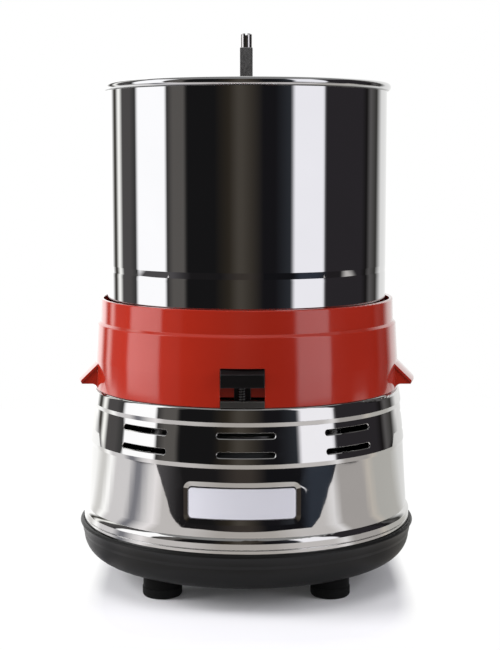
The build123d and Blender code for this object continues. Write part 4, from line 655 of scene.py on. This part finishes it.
PLATE = Finish("silver_plate", (0.62, 0.62, 0.69), (0.67, 0.67, 0.74), (0.3, 0.4), depth=0.000003,
               stretch=(0.2, 1.0, 6.0), coat=0.3)
SPRING = Finish("spring_steel", grey(0.09), grey(0.15), (0.25, 0.35), grain=0.0003, depth=0.000004,
                metallic=1.0)
WHITE = Finish("white_plastic", (0.7, 0.69, 0.64), (0.78, 0.77, 0.73), (0.35, 0.5), grain=0.0005,
               depth=0.00001)
PAINT = Finish("painted_steel", (0.035, 0.037, 0.04), (0.05, 0.052, 0.056), (0.4, 0.55), grain=0.0007,
               painted_edge_highlight=grey(0.3))
CAST = Finish("cast_aluminium", (0.4, 0.4, 0.41), (0.56, 0.56, 0.57), (0.35, 0.55), grain=0.0008,
              depth=0.00005, metallic=1.0, painted_edge_highlight=grey(0.75))
BRONZE = Finish("bronze", (0.36, 0.22, 0.09), (0.5, 0.33, 0.15), (0.3, 0.5), metallic=1.0)
IRON = Layered("laminations", (0.12, 0.12, 0.13), (0.22, 0.22, 0.23), (0.4, 0.6), depth=0.0001,
               metallic=0.8, pitch=0.0005)
COPPER = Layered("copper", (0.38, 0.13, 0.05), (0.55, 0.22, 0.09), (0.25, 0.4), depth=0.0003,
                 metallic=0.9, pitch=0.0008)
GRANITE = Granite("granite", (0.14, 0.14, 0.145), (0.24, 0.24, 0.245), (0.35, 0.6), grain=0.0006,
                  depth=0.00004)
GRANITE_PALE = Granite("granite_bed", grey(0.18), (0.28, 0.28, 0.275), (0.4, 0.65), grain=0.0006,
                       depth=0.00004)


def add_object(name: str, data: bpy.types.ID) -> bpy.types.Object:
    """Put an object with its mesh, light or camera into the scene.

    Args:
        name: Name of the object.
        data: Its mesh, light or camera.

    Returns:
        The object.
    """
    thing = bpy.data.objects.new(name, data)
    bpy.context.scene.collection.objects.link(thing)
    return thing


def add_piece(name: str, mesh: bmesh.types.BMesh, finish: Finish, body: str) -> bpy.types.Object:
    """Turn a mesh into a piece that rides on a body.

    Args:
        name: Name of the piece.
        mesh: Its mesh, which is freed here.
        finish: Its finish.
        body: Body that carries it.

    Returns:
        The piece's object.
    """
    bmesh.ops.recalc_face_normals(mesh, faces=mesh.faces)
    data = bpy.data.meshes.new(name)
    mesh.to_mesh(data)
    mesh.free()
    data.shade_smooth()
    data.materials.append(finish.material())
    piece = add_object(name, data)
    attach(piece, body)
    LOG.info("%s made, in %s", name, finish.name)
    return piece


def join_loops(mesh: bmesh.types.BMesh, first: list[bmesh.types.BMVert],
               second: list[bmesh.types.BMVert]) -> None:
    """Close the strip between two loops of points.

    Args:
        mesh: Mesh that the faces go into.
        first: Points of one loop, in order.
        second: As many points of the other loop.
    """
    for step, corner in enumerate(first):
        after = (step + 1) % len(first)
        mesh.faces.new((corner, first[after], second[after], second[step]))


@dataclass(frozen=True)
class Assembly:
    """Base of the sub-assemblies: dresses its CAD nodes and adds its own pieces."""

    finishes: ClassVar[dict[str, Finish]] = {}

    def dress(self) -> None:
        """Give each CAD node of this sub-assembly its finish, then add the pieces made here."""
        for node, finish in self.finishes.items():
            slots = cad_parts[node].data.materials
            slots.clear()
            slots.append(finish.material())
            LOG.info("%s dressed in %s", node, finish.name)
        self.build()

    def build(self) -> None:
        """Add pieces that the CAD model leaves to this script."""


@dataclass(frozen=True)
class BaseUnit(Assembly):
    """Pan, feet, skirt and the columns inside."""

    finishes: ClassVar[dict[str, Finish]] = {
        "base_pan": PAN, "rubber_feet": RUBBER, "tie_bolts": TURNED, "pillars": TURNED,
        "deck_spacers": TURNED, "chassis_plate": PAINT, "body_shell": SKIRT_STEEL, "name_plate": PLATE,
        "upper_collar": RED, "cord_gland": BLACK, "capacitor": WHITE, "capacitor_clip": TURNED,
        "terminal_block": WHITE,
    }


@dataclass(frozen=True)
class Drive(Assembly):
    """Fixed shaft, bearings, hub, pulleys and belt."""

    finishes: ClassVar[dict[str, Finish]] = {
        "centre_shaft": SHAFT, "shaft_nut": TURNED, "shaft_washer": TURNED, "shaft_circlip": TURNED,
        "bearing_inner_rings": TURNED, "bearing_outer_rings": TURNED, "bearing_balls": POLISHED,
        "drive_hub": CAST, "drive_pins": TURNED, "drive_pulley": BLACK, "pulley_screws": TURNED,
        "drive_belt": RUBBER,
    }


@dataclass(frozen=True)
class Motor(Assembly):
    """Motor under the chassis, with its fan and pulley."""

    finishes: ClassVar[dict[str, Finish]] = {
        "motor_can": PAINT, "motor_top_cap": CAST, "motor_bottom_cap": CAST, "motor_stator": IRON,
        "motor_windings": COPPER, "motor_bushes": BRONZE, "motor_screws": TURNED, "motor_rotor": IRON,
        "motor_pulley": CAST, "cooling_fan": BLACK,
    }


@dataclass(frozen=True)
class Drum(Assembly):
    """Steel drum with its granite bed and drive base."""

    finishes: ClassVar[dict[str, Finish]] = {
        "drum_shell": DRUM_STEEL, "base_stone": GRANITE_PALE, "centre_tube": TURNED, "drum_base": BLACK,
        "drum_screws": TURNED,
    }


@dataclass(frozen=True)
class RollerCarrier(Assembly):
    """Granite rollers on their holder, with the scraper."""

    finishes: ClassVar[dict[str, Finish]] = {
        "roller_holder": WHITE, "roller_axles": TURNED, "axle_nuts": TURNED, "scraper_arm": WHITE,
        "scraper_blade": WHITE, "scraper_screws": TURNED, "roller_left": GRANITE, "roller_bush_left": WHITE,
        "roller_right": GRANITE, "roller_bush_right": WHITE,
    }


@dataclass(frozen=True)
class PowerSwitch(Assembly):
    """Rocker switch on the back, with its two printed marks."""

    finishes: ClassVar[dict[str, Finish]] = {"switch_housing": BLACK, "switch_rocker": BLACK}
    mark_height: float = 0.0026
    line: float = 0.0005
    sunk: float = 0.0001
    proud: float = 0.00004
    steps: int = 32
    facing: float = 0.9

    def build(self) -> None:
        """Print a bar on the rocker's upper half and a ring on its lower half."""
        half = self.mark_height / 2
        bar = self.outline(self.line / 2, half - self.line / 2)
        self.mark("switch_mark_on", True, bar, [])
        self.mark("switch_mark_off", False, self.outline(half, 0.0), self.outline(half - self.line, 0.0))

    def outline(self, radius: float, reach: float) -> list[Span]:
        """Circle, or a bar with round ends.

        Args:
            radius: Radius of the ends.
            reach: Distance of the ends' centres from the middle.

        Returns:
            Points in order round the outline.
        """
        points = []
        for step in range(self.steps):
            angle = math.tau * (step + 0.5) / self.steps
            rise = math.copysign(reach, math.sin(angle))
            points.append((radius * math.cos(angle), radius * math.sin(angle) + rise))
        return points

    def face(self, upper: bool) -> tuple[Vector, Vector]:
        """Find one half of the rocker's face.

        Args:
            upper: Whether it is the upper half.

        Returns:
            Middle of the half and the direction that it faces.
        """
        low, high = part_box("switch_rocker")
        level = (low.z + high.z) / 2
        middle = Vector()
        outward = Vector()
        area = 0.0
        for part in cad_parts["switch_rocker"].data.polygons:
            if part.normal.y > self.facing and (part.center.z > level) == upper:
                middle += part.center * part.area
                outward += part.normal * part.area
                area += part.area
        return middle / area, outward.normalized()

    def mark(self, name: str, upper: bool, outer: list[Span], inner: list[Span]) -> None:
        """Lay a thin printed mark on one half of the rocker.

        Args:
            name: Name of the piece.
            upper: Whether it is on the upper half.
            outer: Outer outline.
            inner: Outline of the hole, or an empty list.
        """
        middle, outward = self.face(upper)
        across = Vector((1, 0, 0))
        along = outward.cross(across)
        mesh = bmesh.new()
        loops = []
        for outline in (outer, inner):
            for lift in (-self.sunk, self.proud):
                base = middle + outward * lift
                loops.append([mesh.verts.new(base + across * x + along * y) for x, y in outline])
        under, over, hole_under, hole_over = loops
        walls = [(under, over)]
        if inner:
            walls += [(hole_under, hole_over), (over, hole_over), (under, hole_under)]
        else:
            mesh.faces.new(over)
            mesh.faces.new(under)
        for first, second in walls:
            join_loops(mesh, first, second)
        add_piece(name, mesh, WHITE, "switch_rocker")


@dataclass(frozen=True)
class PushLock(Assembly):
    """Push lock in the collar's notch, with its wound spring."""

    finishes: ClassVar[dict[str, Finish]] = {"lock_button": LOCK, "lock_guide": LEDGE, "lock_bolt": BLACK}
    wire: float = 0.0008
    turns: int = 5
    steps_per_turn: int = 40
    wire_sides: int = 12
    pressed: float = 0.68

    def build(self) -> None:
        """Wind the spring and hide the CAD spring that it stands for."""
        low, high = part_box("lock_spring")
        spring = add_piece("lock_spring_coil", self.wind(low, high), SPRING, "base")
        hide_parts("lock_spring")
        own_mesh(spring)

    def wind(self, low: Vector, high: Vector) -> bmesh.types.BMesh:
        """Sweep a round wire along a helix with flat closed ends.

        Args:
            low: Lowest corner of the spring's room.
            high: Highest corner of the spring's room.

        Returns:
            The spring's mesh.
        """
        centre = (low + high) / 2
        radius = (high.x - low.x - self.wire) / 2
        bottom = low.z + self.wire / 2
        climb = high.z - low.z - self.wire
        count = self.turns * self.steps_per_turn
        mesh = bmesh.new()
        rings = []
        for step in range(count + 1):
            angle = math.tau * step / self.steps_per_turn
            outward = Vector((math.cos(angle), math.sin(angle), 0))
            middle = Vector((centre.x, centre.y, bottom + climb * step / count)) + outward * radius
            ring = []
            for corner in range(self.wire_sides):
                turn = math.tau * corner / self.wire_sides
                offset = outward * math.cos(turn) + Vector((0, 0, math.sin(turn)))
                ring.append(mesh.verts.new(middle + offset * self.wire / 2))
            rings.append(ring)
        for first, second in zip(rings, rings[1:]):
            join_loops(mesh, first, second)
        mesh.faces.new(rings[0][::-1])
        mesh.faces.new(rings[-1])
        return mesh


@dataclass(frozen=True)
class Panel:
    """A stretch of the studio, by its angles from the camera's side, in degrees."""

    what: str
    start: float
    end: float
    colour: Colour


@dataclass(frozen=True)
class Lamp:
    """A soft area lamp that is aimed at the object."""

    name: str
    place: Triple
    size: Span
    power: float
    colour: Colour = (1.0, 1.0, 1.0)


@dataclass(frozen=True)
class View:
    """Camera of the photograph."""

    place: Triple = (0.0026, -1.0578, 0.3012)
    tilt: float = 83.57
    lens: float = 81.13
    sensor: float = 36.0


@dataclass(frozen=True)
class Studio:
    """White floor, wall of soft boxes and dark cards, lamps and camera."""

    aim: Triple = (0.0, 0.0, 0.19)
    white: Colour = (1.0, 1.0, 1.0)
    unlit: Colour = (0.0, 0.0, 0.0)
    wall_radius: float = 1.1
    wall_bottom: float = -1.5
    wall_top: float = 1.5
    wall_sides: int = 180
    card_foot: Span = (-0.005, 0.01)
    ceiling: Colour = (0.3, 0.3, 0.3)
    ceiling_skin: float = 0.01
    floor_low: Span = (-0.85, -0.43)
    floor_high: Span = (0.85, 0.7)
    floor_glow: float = 0.02
    floor_rough: float = 0.9
    floor_specular: float = 0.1
    paper_dark: Colour = (0.83, 0.825, 0.855)
    paper_light: Colour = (0.86, 0.855, 0.885)
    paper_scale: float = 3.0
    paper_detail: float = 3.0
    fade_middle: Triple = (0.003, 0.0, 0.0)
    fade_shape: Triple = (1.42, 0.9, 1.0)
    fade: Span = (0.145, 0.163)
    ambient: float = 0.22
    view: View = View()
    boxes: ClassVar[tuple[Panel, ...]] = (
        Panel("backdrop", -138, -138, (1.43, 1.43, 1.42)),
        Panel("stand", -131, -127.5, (0.07, 0.066, 0.058)),
        Panel("gap", -122.5, -120.5, (1.3, 1.3, 1.26)),
        Panel("dark card", -115.5, -104, (0.1, 0.095, 0.095)),
        Panel("card edge", -97, -97, (0.05, 0.05, 0.05)),
        Panel("left soft box", -93.5, -65.5, (1.46, 1.46, 1.48)),
        Panel("box edge", -63.5, -63.5, (0.05, 0.048, 0.048)),
        Panel("grey card", -58, -49, (0.13, 0.122, 0.115)),
        Panel("black curtain", -46, -24, (0.011, 0.0108, 0.0115)),
        Panel("doorway", -13, -13, (0.033, 0.027, 0.02)),
        Panel("room", -6, -3, (0.08, 0.07, 0.058)),
        Panel("room", 4, 4, (0.05, 0.043, 0.035)),
        Panel("black curtain", 13, 22, (0.011, 0.0105, 0.0125)),
        Panel("blue card", 34.5, 34.5, (0.034, 0.038, 0.046)),
        Panel("right soft box", 37.5, 61.5, (1.22, 1.21, 1.27)),
        Panel("dark card", 63.5, 103, (0.03, 0.027, 0.031)),
        Panel("black edge", 110, 110, (0.011, 0.01, 0.01)),
        Panel("thin stand", 116, 116, (0.13, 0.125, 0.125)),
        Panel("dark stand", 127, 127, (0.043, 0.042, 0.038)),
        Panel("dim backdrop", 138.3, 168, (0.94, 0.94, 0.93)),
        Panel("backdrop", 180, 180, (1.3, 1.3, 1.29)),
    )
    cards: ClassVar[tuple[Panel, ...]] = (
        Panel("backdrop", -180, -180, (1.15, 1.15, 1.14)),
        Panel("backdrop", -141, -141, (1.3, 1.3, 1.28)),
        Panel("stand", -127, -125, (0.15, 0.145, 0.15)),
        Panel("gap", -117, -111, (1.0, 1.0, 1.0)),
        Panel("grey card", -106, -97, (0.3, 0.295, 0.3)),
        Panel("dark card", -92, -60, (0.1, 0.095, 0.1)),
        Panel("black curtain", -44, -20, (0.015, 0.014, 0.015)),
        Panel("room", -6, 3, (0.055, 0.046, 0.04)),
        Panel("black curtain", 14, 37, (0.009, 0.009, 0.011)),
        Panel("blue card", 43, 57, (0.036, 0.044, 0.06)),
        Panel("dark card", 67, 80, (0.02, 0.018, 0.02)),
        Panel("gap", 86, 93, (0.65, 0.63, 0.61)),
        Panel("dark card", 100, 125, (0.02, 0.02, 0.02)),
        Panel("dim backdrop", 140, 168, (0.86, 0.86, 0.85)),
        Panel("backdrop", 180, 180, (1.15, 1.15, 1.14)),
    )
    # Glow of the far floor for every ray but the camera's: painted shade and painted light on the sheet, by
    # angle.
    painted_sheet_light_and_shade: ClassVar[tuple[Panel, ...]] = (
        Panel("lit sheet", -180, -180, (1.18, 1.18, 1.17)),
        Panel("lit sheet", -128, -128, (1.25, 1.25, 1.24)),
        Panel("shade", -118, -114, (0.85, 0.84, 0.82)),
        Panel("bright fold", -106, -106, (1.4, 1.4, 1.39)),
        Panel("sheet", -99, -86, (0.85, 0.83, 0.84)),
        Panel("shade of a stand", -79, -76, (0.25, 0.25, 0.28)),
        Panel("sheet", -68, -68, (0.84, 0.82, 0.83)),
        Panel("bright edge", -62, -62, (1.1, 1.06, 1.07)),
        Panel("sheet", -55, -32, (0.72, 0.69, 0.68)),
        Panel("shade of the camera", -15, 15, (0.54, 0.51, 0.48)),
        Panel("sheet", 32, 50, (0.72, 0.69, 0.68)),
        Panel("bright edge", 58, 58, (0.98, 0.96, 0.97)),
        Panel("grey sheet", 64, 84, (0.49, 0.465, 0.45)),
        Panel("fold", 90, 90, (0.68, 0.63, 0.57)),
        Panel("grey sheet", 97, 118, (0.57, 0.56, 0.53)),
        Panel("dim sheet", 133, 168, (0.83, 0.83, 0.82)),
        Panel("lit sheet", 180, 180, (1.18, 1.18, 1.17)),
    )
    lamps: ClassVar[tuple[Lamp, ...]] = (
        Lamp("left_box", (-1.29, -0.2, 0.5), (0.7, 1.3), 29.0),
        Lamp("right_box", (1.2, -0.55, 0.5), (0.6, 1.2), 11.0, (0.97, 0.97, 1.0)),
        Lamp("front_fill", (-0.25, -1.7, 0.85), (1.0, 0.8), 5.0),
        Lamp("top_box", (0.0, -0.6, 1.8), (0.4, 1.2), 10.0),
        Lamp("rear_box", (0.3, 1.6, 0.9), (1.4, 1.0), 10.0),
    )

    def build(self) -> None:
        """Set up everything round the object."""
        bpy.context.scene.view_settings.view_transform = "Standard"
        self.world()
        self.floor()
        self.wall()
        for lamp in self.lamps:
            self.lamp(lamp)
        self.camera()

    def hide(self, thing: bpy.types.Object, *rays: Ray) -> None:
        """Let some kinds of ray pass through a stage object."""
        for ray in rays:
            setattr(thing, ray.value, False)

    def tones(self, graph: Graph, panels: tuple[Panel, ...]) -> Socket:
        """Colours of some panels by the angle round the object.

        Args:
            graph: Tree of a stage material.
            panels: The panels, in the order of their angles.

        Returns:
            The colour's socket.
        """
        place = graph.parts(graph.point())
        angle = graph.math("ARCTAN2", place["X"], graph.math("MULTIPLY", place["Y"], -1.0))
        ramp = graph.add("ShaderNodeValToRGB", {0: graph.spread(angle, -math.pi, math.pi)})
        stops = ramp.color_ramp.elements
        # A new ramp has two stops: one goes, and the other is the first to be used.
        stops.remove(stops[-1])
        free = [stops[0]]
        for panel in panels:
            LOG.debug("%s from %s to %s degrees", panel.what, panel.start, panel.end)
            for edge in sorted({panel.start, panel.end}):
                share = (edge + HALF_TURN) / (2 * HALF_TURN)
                stop = free.pop() if free else stops.new(share)
                stop.position = share
                stop.color = (*panel.colour, 1.0)
        return ramp.outputs[0]

    def world(self) -> None:
        """White behind everything, and a soft grey for the rest of the light."""
        world = bpy.data.worlds.new("studio")
        bpy.context.scene.world = world
        world.use_nodes = True
        graph = Graph(world.node_tree)
        back = world.node_tree.nodes["Background"]
        back.inputs["Color"].default_value = (*self.white, 1.0)
        path = graph.add("ShaderNodeLightPath").outputs
        shiny = graph.math("MAXIMUM", path["Is Glossy Ray"], path["Is Transmission Ray"])
        seen = graph.math("MAXIMUM", path["Is Camera Ray"], shiny)
        graph.feed(back.inputs["Strength"], graph.spread(seen, start=self.ambient))

    def floor(self) -> None:
        """White sheet round the object, which fades into the white behind it."""
        (left, front), (right, back) = self.floor_low, self.floor_high
        data = bpy.data.meshes.new("floor")
        corners = [(left, front, 0), (right, front, 0), (right, back, 0), (left, back, 0)]
        data.from_pydata(corners, [], [(0, 1, 2, 3)])
        data.materials.append(self.floor_material())
        sheet = add_object("floor", data)

    def floor_material(self) -> bpy.types.Material:
        """Paper near the object, and a glow of its own further out: white to the camera, painted light and
        shade to other rays.

        Returns:
            The floor's material.
        """
        made = bpy.data.materials.new("floor_sheet")
        made.use_nodes = True
        graph = Graph(made.node_tree)
        shader = made.node_tree.nodes["Principled BSDF"]
        place = graph.point()
        lumps = graph.noise(place, self.paper_scale, self.paper_detail)
        paper = graph.blend(lumps, self.paper_dark, self.paper_light)
        aside = graph.vector("SUBTRACT", place, self.fade_middle)
        scaled = graph.vector("MULTIPLY", aside, self.fade_shape)
        away = graph.vector("LENGTH", graph.vector("MULTIPLY", scaled, scaled))
        near, done = self.fade
        far = graph.spread(away, near ** 2, done ** 2)
        seen = graph.add("ShaderNodeLightPath").outputs["Is Camera Ray"]
        # The camera sees white; reflections see the painted light and shade of the sheet.
        glow = graph.blend(seen, self.tones(graph, self.painted_sheet_light_and_shade), self.white)
        graph.feed(shader.inputs["Base Color"], graph.blend(far, paper, self.unlit))
        graph.feed(shader.inputs["Emission Color"], glow)
        graph.feed(shader.inputs["Emission Strength"], graph.spread(far, start=self.floor_glow))
        shader.inputs["Roughness"].default_value = self.floor_rough
        shader.inputs["Specular IOR Level"].default_value = self.floor_specular
        return made

    def wall(self) -> None:
        """Round wall of soft boxes and dark cards, which only reflections see."""
        count = self.wall_sides
        points = []
        faces = []
        for step in range(count):
            angle = math.tau * step / count
            x = self.wall_radius * math.cos(angle)
            y = self.wall_radius * math.sin(angle)
            points += [(x, y, self.wall_bottom), (x, y, self.wall_top)]
            here = 2 * step
            after = 2 * ((step + 1) % count)
            faces.append((here, here + 1, after + 1, after))
        # The ceiling joins the upper points.
        faces.append(tuple(range(1, 2 * count, 2)))
        data = bpy.data.meshes.new("studio_wall")
        data.from_pydata(points, [], faces)
        data.materials.append(self.wall_material())
        wall = add_object("studio_wall", data)
        self.hide(wall, Ray.CAMERA, Ray.DIFFUSE, Ray.SHADOW, Ray.SCATTER)

    def wall_material(self) -> bpy.types.Material:
        """Soft boxes above, the cards that they stand behind below, and a grey ceiling.

        Returns:
            The wall's material.
        """
        made = bpy.data.materials.new("studio_wall")
        made.use_nodes = True
        made.node_tree.nodes.clear()
        graph = Graph(made.node_tree)
        height = graph.parts(graph.point())["Z"]
        above = graph.spread(height, *self.card_foot)
        round_about = graph.blend(above, self.tones(graph, self.cards), self.tones(graph, self.boxes))
        overhead = graph.math("GREATER_THAN", height, self.wall_top - self.ceiling_skin)
        colour = graph.blend(overhead, round_about, self.ceiling)
        glow = graph.add("ShaderNodeEmission", {"Color": colour}).outputs[0]
        graph.add("ShaderNodeOutputMaterial", {"Surface": glow})
        return made

    def lamp(self, lamp: Lamp) -> None:
        """Place one lamp.

        Args:
            lamp: Its place, size and power.
        """
        data = bpy.data.lights.new(lamp.name, "AREA")
        data.shape = "RECTANGLE"
        data.size, data.size_y = lamp.size
        data.energy = lamp.power
        data.color = lamp.colour
        thing = add_object(lamp.name, data)
        thing.location = lamp.place
        thing.rotation_euler = (Vector(self.aim) - thing.location).to_track_quat("-Z", "Y").to_euler()
        self.hide(thing, Ray.GLOSSY)

    def camera(self) -> None:
        """Place the photograph's camera."""
        data = bpy.data.cameras.new("camera")
        data.lens = self.view.lens
        data.sensor_width = self.view.sensor
        thing = add_object("camera", data)
        thing.location = self.view.place
        thing.rotation_euler = (math.radians(self.view.tilt), 0, 0)
        bpy.context.scene.camera = thing


def main() -> None:
    """Dress the frame and set the studio."""
    logging.basicConfig(level=logging.INFO)
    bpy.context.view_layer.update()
    for assembly in (BaseUnit(), Drive(), Motor(), Drum(), RollerCarrier(), PowerSwitch(), PushLock()):
        assembly.dress()
    Studio().build()
    bpy.context.view_layer.update()


if __name__ == "__main__":
    main()
